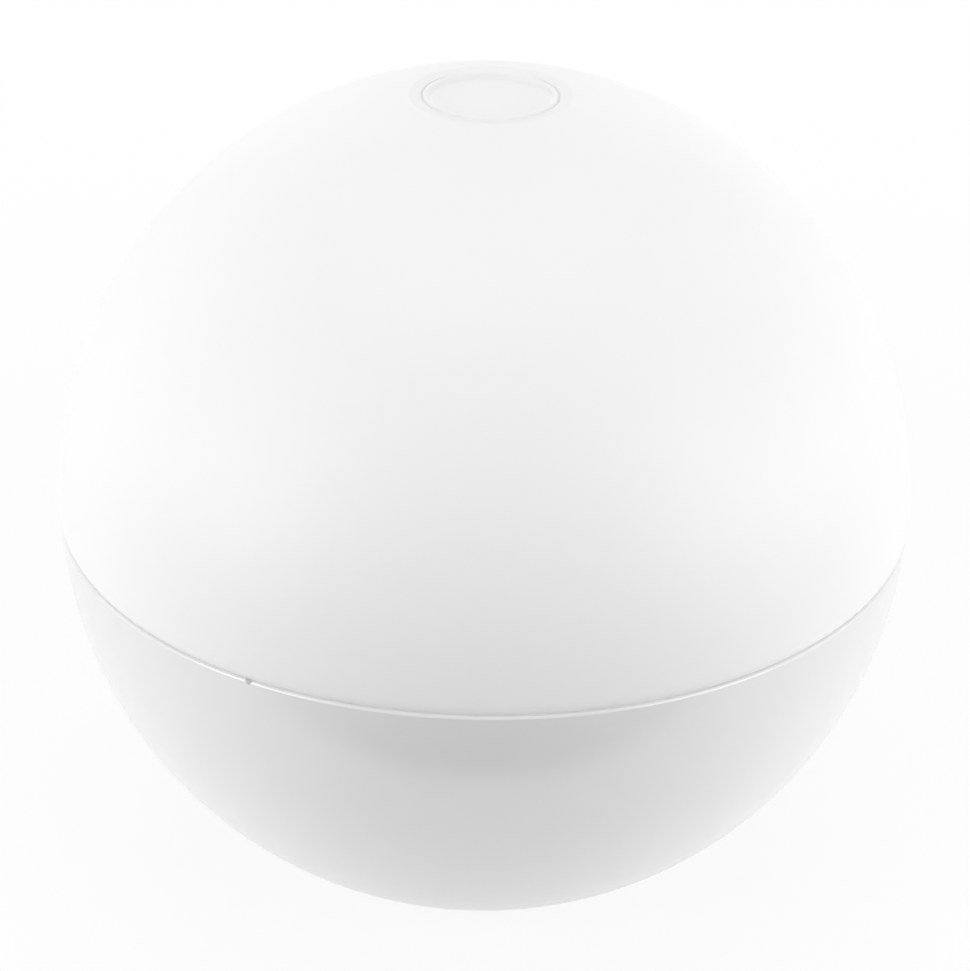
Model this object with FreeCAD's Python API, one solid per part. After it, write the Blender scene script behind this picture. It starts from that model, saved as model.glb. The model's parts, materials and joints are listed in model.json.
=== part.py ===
import FreeCAD, Part
import math
import os

os.makedirs("parts", exist_ok=True)

# Driving dimensions in millimetres. Every height is measured from the globe's centre, and each
# piece is lifted onto the foot when it is written. The front of the globe faces -Y.

globe_radius = 100.0
shell_wall = 2.5
base_radius = 99.7          # the lower shell stands a little inside the diffuser
seam_height = -2.1
seam_rounding = 4.0         # lower edge of the diffuser
seam_lean = 45.0            # how far round it goes, in degrees below level
rim_rounding = 0.7          # upper edge of the lower shell

flat_radius = 45.0
flat_rounding = 4.0
floor_thickness = 3.2
label_recess_radius = 30.0
label_recess_depth = 0.6
foot_inner = 35.0
foot_outer = 41.0
foot_depth = 1.6
foot_proud = 0.8
foot_gap = 0.1

spigot_outer = 96.5
spigot_inner = 94.6
spigot_length = 7.0
spigot_shoulder = 6.0
spigot_step = 1.0
rim_bore = 96.6
seam_seal_drop = 2.2
seam_groove_bottom = 95.2
seam_groove_height = 1.6
seal_slack = 0.02
bead_drop = 5.0
bead_height = 1.6
bead_radius = 97.2
bead_groove_radius = 97.35
bead_groove_height = 2.2

notch_angle = -29.8         # from the front, towards -X
notch_width = 2.0
notch_height = 1.2
notch_depth = 2.0

button_circle = 15.3
button_gap = 0.4
button_travel = 1.2
land_radius = 18.2
land_sink = 0.15
land_edge = 0.3
crest_proud = 0.27
dish_depth = 1.4
dish_sag = 0.15
lip_rounding = 0.6
lip_slope = 75.0            # how steeply the dish falls from its lip, in degrees
cap_thickness = 1.3
skirt_wall = 1.7
skirt_depth = 5.5
well_depth = 8.0
well_wall = 2.0
well_floor = 2.0
stem_radius = 4.0
stem_length = 17.0
stem_clearance = 0.06
stem_chamfer = 0.5
bush_radius = 6.5
bush_top = 5.0              # below the button's crest
bush_bottom = 13.0
button_seal_drop = 9.85
button_seal_groove = 1.7
button_seal_bottom = 2.6
button_seal_wire = 0.71
clip_gap = 0.05
clip_thickness = 0.8
clip_outer = 5.6
clip_inner = 3.0
clip_slack = 0.03
clip_mouth = 4.4
spring_radius = 8.6
spring_wire = 0.4
spring_turns = 3.5

switch_side = 8.5
switch_height = 7.0
switch_gap = 0.8            # left over the housing when the button is down
switch_corner = 0.6
plunger_radius = 1.8
plunger_length = 5.5
plunger_clearance = 0.08
plunger_chamber = 5.5
board_thickness = 1.6
switch_board_radius = 11.0
switch_screw_offset = 8.3
head_radius = 11.5
head_height = 6.0
head_bore = 3.5
column_radius = 8.5
column_wall = 1.8
column_flange = 19.0
column_flange_thickness = 3.0
column_gusset = 5.0
column_screw_circle = 15.0
column_screw_count = 3
column_screw_angle = 30.0

plate_top = -12.0
plate_thickness = 2.0
plate_radius = 94.0
plate_lip_height = 2.5
plate_lip_wall = 2.0
plate_screw_circle = 86.0
plate_screw_count = 6
plate_screw_angle = 30.0
plate_boss_radius = 4.2
plate_boss_reach = 60.0
plate_bore = 6.0
lead_hole_offset = 21.5
lead_hole_radius = 2.4
small_boss_radius = 3.2
small_boss_length = 6.0

led_board_inner = 24.0
led_board_outer = 66.0
led_screw_circle = 45.0
led_screw_count = 4
led_screw_angle = 45.0
led_rings = ((34.0, 12), (56.0, 24))
led_length = 3.5
led_width = 2.8
led_height = 0.8

control_length = 64.0
control_width = 44.0
control_corner = 2.0
control_drop = 8.0
control_hole_x = 27.0
control_hole_y = 17.0
socket_length = 7.0
socket_width = 5.0
socket_height = 5.0
socket_offset_x = 18.0
socket_offset_y = 14.0
chip_side = 7.0
chip_height = 1.2
chip_offset_y = -9.0
coil_side = 10.0
coil_height = 5.0
coil_rounding = 2.0
coil_offset_x = 12.0
coil_offset_y = -12.0
capacitor_radius = 4.0
capacitor_height = 9.0
capacitor_offset_x = 6.0
capacitor_offset_y = 13.0

cell_radius = 9.2
cell_length = 65.0
cell_offset = 10.0
cell_gap = 0.2
cell_edge = 0.5
cell_cap_radius = 3.0
cell_cap_height = 0.8
link_thickness = 0.3
link_width = 26.0
link_height = 8.0
tray_floor = 2.0
tray_height = 13.0
tray_length = 75.0
tray_width = 42.0
tray_corner = 2.0
tray_lug_x = 32.0
tray_lug_y = 24.5
lug_radius = 4.0
lug_thickness = 3.0
floor_boss_height = 4.0
clamp_width = 12.0
clamp_thickness = 1.6
clamp_lug_y = 25.5
clamp_lug_radius = 3.4
clamp_clearance = 0.1

port_angle = 38.0           # below the equator, at the back
door_half_width = 9.5
door_top = 6.5              # from the port's middle up to the door's upper edge
door_corner = 2.0
door_thickness = 2.2
door_gap = 0.25
door_range_clearance = 0.35
barrel_offset = 8.0         # from the port's middle down to the hinge
barrel_radius = 1.4
barrel_sink = 0.05          # its outer side is trimmed to just inside the shell's sphere
pin_radius = 0.6
pin_half_length = 11.5
pin_fit = 0.02
door_bore_fit = 0.08
nail_width = 7.0
nail_reach = 1.4
nail_depth = 1.2
port_slot_length = 9.5
port_slot_height = 3.8
plug_clearance = 0.4
plug_depth = 1.8
block_half_width = 14.0
block_low = -12.5
block_high = 10.0
block_depth = 7.5
usb_length = 7.3
usb_width = 8.94
usb_height = 3.26
usb_wall = 0.3
usb_setback = 5.0
usb_tongue_width = 6.7
usb_tongue_height = 0.7
usb_tongue_length = 5.0
port_board_half_width = 9.0
port_board_length = 14.0
port_board_gap = 0.5
shelf_thickness = 3.5
port_screw_x = 6.6
port_screw_inset = 3.5

screw_radius = 1.25
screw_fit = 0.05
screw_hole = 1.5
screw_length = 7.0
screw_head_radius = 2.4
screw_head_height = 1.6
screw_slot_length = 2.8
screw_slot_width = 0.6
screw_slot_depth = 0.8

hole_spare = 0.5            # depth left below a screw
hole_clear = 0.1

lead_radius = 0.6
lead_pitch = 1.25
bend_share = 0.45           # of a wire's shorter run that each bend takes up

overlap = 1.0               # how far a form runs into or past another before it is joined or cut
edge_flat = 0.05            # left straight where two roundings nearly meet
steep = 0.99
closed = 1e-9

# Heights and radii that follow from the dimensions above.

inner_radius = globe_radius - shell_wall
base_inner = base_radius - shell_wall
flat_height = -math.sqrt(base_radius ** 2 - flat_radius ** 2)
centre_height = foot_proud - flat_height
floor_top = flat_height + floor_thickness
cap_radius = button_circle - button_gap / 2
well_radius = button_circle + button_gap / 2
land_height = math.sqrt(globe_radius ** 2 - land_radius ** 2) - land_sink
crest = land_height + crest_proud
cap_underside = crest - dish_depth - dish_sag - cap_thickness
stem_tip = crest - stem_length
switch_top = stem_tip - button_travel - switch_gap
switch_base = switch_top - switch_height
column_top = switch_base - board_thickness
plate_under = plate_top - plate_thickness
control_top = plate_under - control_drop
control_under = control_top - board_thickness
cell_height = floor_top + floor_boss_height + tray_floor + cell_radius + cell_gap
tray_base = floor_top + floor_boss_height
tray_top = tray_base + tray_height
clamp_base = cell_height + cell_radius + clamp_clearance
barrel_height = math.sqrt(base_radius ** 2 - barrel_offset ** 2) - barrel_radius
door_inner = base_radius - door_thickness
origin = FreeCAD.Vector(0, 0, 0)
across = FreeCAD.Vector(1, 0, 0)
along = FreeCAD.Vector(0, 1, 0)
up = FreeCAD.Vector(0, 0, 1)


class Outline:
    """An outline in the half-plane of radius and height, traced point by point and turned about Z."""

    def __init__(self, radius, height):
        self.start = FreeCAD.Vector(radius, 0, height)
        self.end = self.start
        self.edges = []

    def line(self, radius, height):
        stop = FreeCAD.Vector(radius, 0, height)
        self.edges.append(Part.LineSegment(self.end, stop).toShape())
        self.end = stop

    def arc(self, radius, height, centre_radius=0.0, centre_height=0.0):
        centre = FreeCAD.Vector(centre_radius, 0, centre_height)
        stop = FreeCAD.Vector(radius, 0, height)
        bisector = (self.end - centre) + (stop - centre)
        middle = centre + bisector.normalize() * (stop - centre).Length
        self.edges.append(Part.Arc(self.end, middle, stop).toShape())
        self.end = stop

    def turned(self):
        if not self.end.isEqual(self.start, closed):
            self.line(self.start.x, self.start.z)
        return Part.Face(Part.Wire(self.edges)).revolve(origin, up, 360)


def sphere_height(radius, distance):
    return math.sqrt(radius ** 2 - distance ** 2)


def polar(radius, degrees, height=0.0):
    angle = math.radians(degrees)
    return FreeCAD.Vector(radius * math.cos(angle), radius * math.sin(angle), height)


def around(circle, count, height=0.0, first=0.0):
    return [polar(circle, first + 360.0 * step / count, height) for step in range(count)]


def post(radius, low, high, place=origin):
    return Part.makeCylinder(radius, high - low, FreeCAD.Vector(place.x, place.y, low))


def block(length, width, low, high, x=0.0, y=0.0):
    corner = FreeCAD.Vector(x - length / 2, y - width / 2, low)
    return Part.makeBox(length, width, high - low, corner)


def rounded_block(length, width, low, high, corner, x=0.0, y=0.0):
    body = block(length, width, low, high, x, y)
    upright = [edge for edge in body.Edges if abs(edge.tangentAt(edge.FirstParameter).z) > steep]
    return body.makeFillet(corner, upright)


def ring(radius, wire, height):
    return Part.makeTorus(radius, wire, FreeCAD.Vector(0, 0, height), up)


def ball(radius):
    """A sphere about the globe's centre, with its poles on X, clear of the charging port."""
    body = Part.makeSphere(radius)
    body.rotate(origin, along, 90.0)
    return body


def group(solids):
    return Part.makeCompound(solids)


def screw(place, direction=up):
    """A pan-head screw whose head's underside is at place, with its shank along -direction."""
    shank = Part.makeCylinder(screw_radius, screw_length, origin, -up)
    head = Part.makeCylinder(screw_head_radius, screw_head_height)
    rim = [edge for edge in head.Edges if edge.Closed and edge.CenterOfMass.z > screw_head_height / 2]
    body = shank.fuse(head.makeFillet(screw_head_height / 3, rim))
    slot_floor = screw_head_height - screw_slot_depth
    for length, width in ((screw_slot_length, screw_slot_width), (screw_slot_width, screw_slot_length)):
        body = body.cut(block(length, width, slot_floor, screw_head_height))
    body.Placement = FreeCAD.Placement(place, FreeCAD.Rotation(up, direction))
    return body


def pilot(place, direction=up):
    """The blind hole that takes a screw's shank below place."""
    depth = screw_length + screw_head_height
    return Part.makeCylinder(screw_radius + screw_fit, depth, place + direction * overlap, -direction)


def bend(before, corner, after):
    """The tangent arc that rounds a wire's corner, as its first, middle and last points."""
    run_in = (before - corner)
    run_out = (after - corner)
    reach = bend_share * min(run_in.Length, run_out.Length)
    towards_in = run_in.normalize()
    towards_out = run_out.normalize()
    half_gap = towards_in.getAngle(towards_out) / 2
    radius = reach * math.tan(half_gap)
    bisector = (towards_in + towards_out).normalize()
    middle = corner + bisector * (radius / math.sin(half_gap) - radius)
    return corner + towards_in * reach, middle, corner + towards_out * reach


def lead(points):
    """One insulated wire: straight runs joined by tangent arcs."""
    places = [FreeCAD.Vector(*point) for point in points]
    edges = []
    here = places[0]
    for before, corner, after in zip(places, places[1:], places[2:]):
        first, middle, last = bend(before, corner, after)
        edges.append(Part.LineSegment(here, first).toShape())
        edges.append(Part.Arc(first, middle, last).toShape())
        here = last
    edges.append(Part.LineSegment(here, places[-1]).toShape())
    path = Part.Wire(edges)
    section = Part.Wire(Part.makeCircle(lead_radius, places[0], places[1] - places[0]))
    return path.makePipeShell([section], True, False)


def tilted(shape):
    """Turns a piece drawn about Z to the charging port's place, low on the back of the base."""
    shape.rotate(origin, across, -(90.0 + port_angle))
    return shape


# The two shells and the seal between them

def diffuser_globe():
    lean = math.radians(seam_lean)
    centre_z = seam_height + seam_rounding * math.sin(lean)
    reach = globe_radius - seam_rounding
    centre_r = sphere_height(reach, centre_z)
    grown = globe_radius / reach
    shoulder_top = seam_height + spigot_shoulder
    bead_top = seam_height - bead_drop + bead_height / 2
    bead_low = seam_height - bead_drop - bead_height / 2
    groove_top = seam_height - seam_seal_drop + seam_groove_height / 2
    groove_low = seam_height - seam_seal_drop - seam_groove_height / 2
    well_bottom = crest - well_depth
    well_outer = well_radius + well_wall
    trace = Outline(centre_r + seam_rounding * math.cos(lean), seam_height)
    trace.arc(centre_r * grown, centre_z * grown, centre_r, centre_z)
    trace.arc(land_radius, sphere_height(globe_radius, land_radius))
    trace.line(land_radius - land_edge, land_height)
    trace.line(well_radius + land_edge, land_height)
    trace.arc(well_radius, land_height - land_edge, well_radius + land_edge, land_height - land_edge)
    trace.line(well_radius, well_bottom)
    trace.line(bush_radius, well_bottom)
    trace.line(bush_radius, crest - bush_top)
    trace.line(stem_radius + stem_clearance, crest - bush_top)
    trace.line(stem_radius + stem_clearance, crest - bush_bottom)
    trace.line(bush_radius, crest - bush_bottom)
    trace.line(bush_radius, well_bottom - well_floor)
    trace.line(well_outer, well_bottom - well_floor)
    trace.line(well_outer, sphere_height(inner_radius, well_outer))
    trace.arc(sphere_height(inner_radius, shoulder_top), shoulder_top)
    trace.line(spigot_inner, seam_height + spigot_step)
    trace.line(spigot_inner, seam_height - spigot_length)
    trace.line(spigot_outer - land_edge, seam_height - spigot_length)
    trace.line(spigot_outer, bead_low)
    trace.line(bead_radius, seam_height - bead_drop)
    trace.line(spigot_outer, bead_top)
    trace.line(spigot_outer, groove_low)
    trace.line(seam_groove_bottom, groove_low)
    trace.line(seam_groove_bottom, groove_top)
    trace.line(spigot_outer, groove_top)
    trace.line(spigot_outer, seam_height)
    return trace.turned()


def base_profile():
    rim_z = seam_height - rim_rounding
    rim_reach = base_radius - rim_rounding
    rim_r = sphere_height(rim_reach, rim_z)
    rim_grown = base_radius / rim_reach
    flat_z = flat_height + flat_rounding
    flat_reach = base_radius - flat_rounding
    flat_r = sphere_height(flat_reach, flat_z)
    flat_grown = base_radius / flat_reach
    groove_top = seam_height - bead_drop + bead_groove_height / 2
    groove_low = seam_height - bead_drop - bead_groove_height / 2
    trace = Outline(rim_bore, seam_height)
    trace.line(rim_r, seam_height)
    trace.arc(rim_r * rim_grown, rim_z * rim_grown, rim_r, rim_z)
    trace.arc(flat_r * flat_grown, flat_z * flat_grown)
    trace.arc(flat_r, flat_height, flat_r, flat_z)
    trace.line(foot_outer, flat_height)
    trace.line(foot_outer, flat_height + foot_depth)
    trace.line(foot_inner, flat_height + foot_depth)
    trace.line(foot_inner, flat_height)
    trace.line(label_recess_radius, flat_height)
    trace.line(label_recess_radius, flat_height + label_recess_depth)
    trace.line(0.0, flat_height + label_recess_depth)
    trace.line(0.0, floor_top)
    trace.line(sphere_height(base_inner, floor_top), floor_top)
    trace.arc(rim_bore, -sphere_height(base_inner, rim_bore))
    trace.line(rim_bore, groove_low)
    trace.line(bead_groove_radius, groove_low)
    trace.line(bead_groove_radius, groove_top)
    trace.line(rim_bore, groove_top)
    return trace.turned()


def release_notch():
    """The triangular notch in the rim, where a tool parts the shells."""
    outer = base_radius + overlap
    inner = base_radius - notch_depth
    corners = [
        FreeCAD.Vector(-notch_width / 2, -outer, seam_height),
        FreeCAD.Vector(notch_width / 2, -outer, seam_height),
        FreeCAD.Vector(0, -outer, seam_height - notch_height),
    ]
    wedge = Part.Face(Part.makePolygon(corners + corners[:1])).extrude(along * (outer - inner))
    wedge.rotate(origin, up, notch_angle)
    return wedge


def port_block():
    """The thickened wall behind the charging port, with the shelf for its board."""
    depth_low = base_radius - block_depth
    width = block_high - block_low
    middle = (block_high + block_low) / 2
    body = block(2 * block_half_width, width, depth_low, base_radius, 0.0, -middle)
    body = body.common(ball(base_radius - rim_rounding))
    shelf_near = usb_height / 2 + board_thickness
    shelf_low = depth_low - port_board_gap - port_board_length
    shelf = block(2 * port_board_half_width, shelf_thickness, shelf_low, depth_low + overlap,
                  0.0, shelf_near + shelf_thickness / 2)
    return body.fuse(shelf)


def port_cuts():
    """The recess for the door, its hinge's pocket, the slot to the socket and the nail scoop."""
    high = base_radius + 2 * overlap
    half_width = door_half_width + door_gap
    top_edge = -(door_top + door_gap)
    recess_width = barrel_offset - top_edge
    middle = (barrel_offset + top_edge) / 2
    recess = rounded_block(2 * half_width, recess_width + door_corner, door_inner - door_gap, high,
                           door_corner, 0.0, middle + door_corner / 2)
    below = block(2 * half_width, recess_width, door_inner - door_gap, high, 0.0, middle)
    pocket_radius = barrel_radius + door_range_clearance
    start = FreeCAD.Vector(-half_width, barrel_offset, barrel_height)
    pocket = Part.makeCylinder(pocket_radius, 2 * half_width, start, across)
    mouth = block(2 * half_width, 2 * pocket_radius, barrel_height, high, 0.0, barrel_offset)
    slot = rounded_block(port_slot_length, port_slot_height, base_radius - block_depth - overlap, high,
                         port_slot_height / 2 - edge_flat)
    scoop = rounded_block(nail_width, 2 * nail_reach, base_radius - nail_depth, high,
                          nail_reach - edge_flat, 0.0, top_edge)
    cuts = recess.common(below).fuse([pocket, mouth, slot, scoop])
    pin_start = FreeCAD.Vector(-pin_half_length - pin_fit, barrel_offset, barrel_height)
    pin_hole = Part.makeCylinder(pin_radius + pin_fit, 2 * (pin_half_length + pin_fit), pin_start, across)
    return cuts.fuse(pin_hole)


def port_screw_places():
    near = usb_height / 2
    height = base_radius - block_depth - port_board_gap - port_board_length + port_screw_inset
    return [FreeCAD.Vector(side * port_screw_x, near, height) for side in (-1, 1)]


def base_shell():
    body = base_profile()
    bosses = []
    holes = []
    for place in around(plate_screw_circle, plate_screw_count, plate_under, plate_screw_angle):
        boss = post(plate_boss_radius, plate_under - plate_boss_reach, plate_under, place)
        bosses.append(boss.common(ball(base_inner + overlap)))
        holes.append(pilot(place))
    for place in tray_screw_places():
        bosses.append(post(lug_radius, floor_top - overlap, tray_base, place))
        holes.append(Part.makeCylinder(screw_radius + screw_fit, screw_length - lug_thickness + hole_spare,
                                       FreeCAD.Vector(place.x, place.y, tray_base + hole_clear), -up))
    body = body.fuse(bosses + [tilted(port_block())])
    cuts = port_cuts()
    for place in port_screw_places():
        cuts = cuts.fuse(pilot(place, -along))
    body = body.cut(holes + [tilted(cuts), release_notch()])
    return body.removeSplitter()


def seam_seal():
    half = (rim_bore - seam_groove_bottom) / 2 - seal_slack
    middle = (rim_bore + seam_groove_bottom) / 2
    return ring(middle, half, seam_height - seam_seal_drop)


def foot_ring():
    body = post(foot_outer - foot_gap, flat_height - foot_proud, flat_height + foot_depth)
    body = body.cut(post(foot_inner + foot_gap, flat_height - foot_proud, flat_height + foot_depth))
    low = [edge for edge in body.Edges if edge.Closed and edge.CenterOfMass.z < flat_height]
    return body.makeFillet(foot_proud / 2, low)


# The push button and its switch

def button_cap():
    lip_r = cap_radius - lip_rounding
    lip_z = crest - lip_rounding
    slope = math.radians(lip_slope)
    run = lip_rounding * math.sin(slope)
    fall = lip_rounding * (1 - math.cos(slope))
    floor = crest - dish_depth
    foot_r = lip_r - 2 * run - (dish_depth - 2 * fall) / math.tan(slope)
    dish_radius = (foot_r ** 2 + dish_sag ** 2) / (2 * dish_sag)
    seal_top = crest - button_seal_drop + button_seal_groove / 2
    seal_low = crest - button_seal_drop - button_seal_groove / 2
    clip_top = crest - bush_bottom - clip_gap + clip_slack
    clip_low = crest - bush_bottom - clip_gap - clip_thickness - clip_slack
    trace = Outline(0.0, floor - dish_sag)
    trace.arc(foot_r, floor, 0.0, floor - dish_sag + dish_radius)
    trace.arc(foot_r + run, floor + fall, foot_r, floor + lip_rounding)
    trace.line(lip_r - run, crest - fall)
    trace.arc(cap_radius, lip_z, lip_r, lip_z)
    trace.line(cap_radius, crest - skirt_depth)
    trace.line(cap_radius - skirt_wall, crest - skirt_depth)
    trace.line(cap_radius - skirt_wall, cap_underside)
    trace.line(stem_radius, cap_underside)
    trace.line(stem_radius, seal_top)
    trace.line(button_seal_bottom, seal_top)
    trace.line(button_seal_bottom, seal_low)
    trace.line(stem_radius, seal_low)
    trace.line(stem_radius, clip_top)
    trace.line(clip_inner - clip_slack, clip_top)
    trace.line(clip_inner - clip_slack, clip_low)
    trace.line(stem_radius, clip_low)
    trace.line(stem_radius, stem_tip + stem_chamfer)
    trace.line(stem_radius - stem_chamfer, stem_tip)
    trace.line(0.0, stem_tip)
    return trace.turned()


def button_seal():
    middle = button_seal_bottom + button_seal_wire + seal_slack / 2
    return ring(middle, button_seal_wire, crest - button_seal_drop)


def button_clip():
    top = crest - bush_bottom - clip_gap
    low = top - clip_thickness
    body = post(clip_outer, low, top).cut(post(clip_inner, low, top))
    mouth = block(clip_outer * 2, clip_mouth, low, top, clip_outer)
    return body.cut(mouth)


def button_spring():
    low = crest - well_depth + spring_wire
    high = cap_underside - spring_wire
    height = high - low
    coil = Part.makeHelix(height / spring_turns, height, spring_radius)
    path = Part.Wire(coil.Edges)
    start = FreeCAD.Vector(spring_radius, 0, 0)
    section = Part.Wire(Part.makeCircle(spring_wire, start, along))
    body = path.makePipeShell([section], True, True)
    body.translate(FreeCAD.Vector(0, 0, low))
    return body


def push_switch():
    body = rounded_block(switch_side, switch_side, switch_base, switch_top, switch_corner)
    return body.cut(post(plunger_radius + plunger_clearance, switch_top - plunger_chamber, switch_top))


def switch_plunger():
    return post(plunger_radius, stem_tip - plunger_length, stem_tip)


def switch_screw_places():
    return [FreeCAD.Vector(side * switch_screw_offset, 0, switch_base) for side in (-1, 1)]


def switch_board():
    body = post(switch_board_radius, column_top, switch_base)
    return body.cut([post(screw_hole, column_top, switch_base, place) for place in switch_screw_places()])


def switch_board_screws():
    return group([screw(place) for place in switch_screw_places()])


# The post and the plate inside the diffuser

def column_screw_places():
    top = plate_top + column_flange_thickness
    return around(column_screw_circle, column_screw_count, top, column_screw_angle)


def lamp_column():
    neck = column_top - head_height
    cone = head_radius - column_radius
    flange_top = plate_top + column_flange_thickness
    bore = column_radius - column_wall
    trace = Outline(head_bore, column_top)
    trace.line(head_radius, column_top)
    trace.line(head_radius, neck)
    trace.line(column_radius, neck - cone)
    trace.line(column_radius, flange_top + column_gusset)
    trace.line(column_radius + column_gusset / 2, flange_top)
    trace.line(column_flange, flange_top)
    trace.line(column_flange, plate_top)
    trace.line(bore, plate_top)
    trace.line(bore, neck - cone)
    trace.line(head_bore, neck - cone + bore - head_bore)
    body = trace.turned()
    holes = [pilot(place - up * board_thickness) for place in switch_screw_places()]
    holes += [post(screw_hole, plate_top, flange_top, place) for place in column_screw_places()]
    return body.cut(holes)


def column_screws():
    return group([screw(place) for place in column_screw_places()])


def led_screw_places():
    return around(led_screw_circle, led_screw_count, plate_top + board_thickness, led_screw_angle)


def control_screw_places():
    return [
        FreeCAD.Vector(side * control_hole_x, end * control_hole_y, control_under)
        for side in (-1, 1)
        for end in (-1, 1)
    ]


def plate_screw_places():
    return around(plate_screw_circle, plate_screw_count, plate_top, plate_screw_angle)


def reflector_plate():
    body = post(plate_radius, plate_under, plate_top + plate_lip_height)
    body = body.cut(post(plate_radius - plate_lip_wall, plate_top, plate_top + plate_lip_height))
    bosses = []
    holes = [post(plate_bore, plate_under, plate_top)]
    holes.append(post(lead_hole_radius, plate_under, plate_top, FreeCAD.Vector(0, lead_hole_offset, 0)))
    for place in column_screw_places() + led_screw_places():
        bosses.append(post(small_boss_radius, plate_under - small_boss_length, plate_under, place))
        holes.append(Part.makeCylinder(screw_radius + screw_fit, screw_length + hole_spare, place, -up))
    for place in control_screw_places():
        bosses.append(post(small_boss_radius, control_top, plate_under, place))
        holes.append(post(screw_radius + screw_fit, control_top - hole_clear, control_top + screw_length, place))
    for place in plate_screw_places():
        holes.append(post(screw_hole, plate_under, plate_top, place))
    return body.fuse(bosses).cut(holes)


def plate_screws():
    return group([screw(place) for place in plate_screw_places()])


def led_board():
    top = plate_top + board_thickness
    body = post(led_board_outer, plate_top, top).cut(post(led_board_inner, plate_top, top))
    return body.cut([post(screw_hole, plate_top, top, place) for place in led_screw_places()])


def led_chips():
    low = plate_top + board_thickness
    chips = []
    for circle, count in led_rings:
        for step in range(count):
            chip = block(led_width, led_length, low, low + led_height, circle)
            chip.rotate(origin, up, 360.0 * (step + 0.5) / count)
            chips.append(chip)
    return group(chips)


def led_board_screws():
    return group([screw(place) for place in led_screw_places()])


# The control board under the plate

def control_board():
    body = rounded_block(control_length, control_width, control_under, control_top, control_corner)
    return body.cut([post(screw_hole, control_under, control_top, place) for place in control_screw_places()])


def control_board_screws():
    return group([screw(place, -up) for place in control_screw_places()])


def lead_sockets():
    above = [(0.0, 0.0), (0.0, socket_offset_y)]
    below = [(-socket_offset_x, 0.0), (socket_offset_x, 0.0)]
    solids = [block(socket_length, socket_width, control_top, control_top + socket_height, x, y)
              for x, y in above]
    solids += [block(socket_length, socket_width, control_under - socket_height, control_under, x, y)
               for x, y in below]
    return group(solids)


def driver_chip():
    return block(chip_side, chip_side, control_under - chip_height, control_under, 0.0, chip_offset_y)


def power_coil():
    return rounded_block(coil_side, coil_side, control_under - coil_height, control_under,
                         coil_rounding, coil_offset_x, coil_offset_y)


def capacitors():
    low = control_under - capacitor_height
    places = [FreeCAD.Vector(side * capacitor_offset_x, capacitor_offset_y, 0) for side in (-1, 1)]
    return group([post(capacitor_radius, low, control_under, place) for place in places])


# The batteries in the base

def battery_cell(side):
    start = FreeCAD.Vector(-cell_length / 2, side * cell_offset, cell_height)
    body = Part.makeCylinder(cell_radius, cell_length - cell_cap_height, start, across)
    rims = [edge for edge in body.Edges if edge.Closed]
    cap_start = start + across * (cell_length - cell_cap_height)
    cap = Part.makeCylinder(cell_cap_radius, cell_cap_height, cap_start, across)
    return body.makeFillet(cell_edge, rims).fuse(cap)


def battery_cell_front():
    return battery_cell(-1)


def battery_cell_back():
    return battery_cell(1)


def cell_link(side):
    low = cell_height - link_height / 2
    middle = side * (cell_length + link_thickness) / 2
    return block(link_thickness, link_width, low, low + link_height, middle)


def cell_link_left():
    return cell_link(-1)


def cell_link_right():
    return cell_link(1)


def tray_screw_places():
    return [
        FreeCAD.Vector(side * tray_lug_x, end * tray_lug_y, tray_base + lug_thickness)
        for side in (-1, 1)
        for end in (-1, 1)
    ]


def clamp_screw_places():
    return [FreeCAD.Vector(0, end * clamp_lug_y, tray_top + clamp_thickness) for end in (-1, 1)]


def battery_tray():
    body = rounded_block(tray_length, tray_width, tray_base, tray_top, tray_corner)
    cavity_length = cell_length + 2 * link_thickness + 2 * cell_gap
    for side in (-1, 1):
        start = FreeCAD.Vector(-cavity_length / 2, side * cell_offset, cell_height)
        trough = Part.makeCylinder(cell_radius + cell_gap, cavity_length, start, across)
        opening = block(cavity_length, 2 * (cell_radius + cell_gap), cell_height, tray_top + overlap,
                        0.0, side * cell_offset)
        body = body.cut([trough, opening])
    slot_low = cell_height - link_height
    for side in (-1, 1):
        slot = block(link_thickness + 3 * cell_gap, link_width + cell_gap, slot_low, tray_top + overlap,
                     side * (cavity_length / 2 - cell_gap))
        body = body.cut(slot)
    lugs = [post(lug_radius, tray_base, tray_base + lug_thickness, place) for place in tray_screw_places()]
    lugs += [post(clamp_lug_radius, tray_base, tray_top, place) for place in clamp_screw_places()]
    lugs += [block(2 * clamp_lug_radius, clamp_lug_y - cell_offset - cell_radius, tray_base, tray_top,
                   0.0, side * (clamp_lug_y + cell_offset + cell_radius) / 2) for side in (-1, 1)]
    body = body.fuse(lugs)
    holes = [post(screw_hole, tray_base, tray_base + lug_thickness, place) for place in tray_screw_places()]
    holes += [pilot(place - up * clamp_thickness) for place in clamp_screw_places()]
    head_room = [post(screw_head_radius + screw_hole, tray_base + lug_thickness, tray_top, place)
                 for place in tray_screw_places()]
    return body.cut(holes + head_room)


def battery_clamp():
    outer = cell_offset + cell_radius + clamp_thickness + 2 * clamp_clearance
    top = clamp_base + clamp_thickness
    bridge = block(clamp_width, 2 * outer, tray_top, top)
    bridge = bridge.cut(block(clamp_width, 2 * (outer - clamp_thickness), tray_top, clamp_base))
    feet = []
    for place in clamp_screw_places():
        foot_middle = (abs(place.y) + outer) / 2 * math.copysign(1.0, place.y)
        reach = abs(place.y) - outer + clamp_thickness
        feet.append(block(clamp_width, reach, tray_top, tray_top + clamp_thickness, 0.0, foot_middle))
        feet.append(post(clamp_width / 2, tray_top, tray_top + clamp_thickness, place))
    body = bridge.fuse(feet)
    body = body.cut(block(clamp_width, 2 * (outer - clamp_thickness), tray_top, clamp_base))
    return body.cut([post(screw_hole, tray_top, top, place) for place in clamp_screw_places()])


def tray_screws():
    return group([screw(place) for place in tray_screw_places()])


def clamp_screws():
    return group([screw(place) for place in clamp_screw_places()])


# The charging port, drawn about Z and tilted into place

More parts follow.
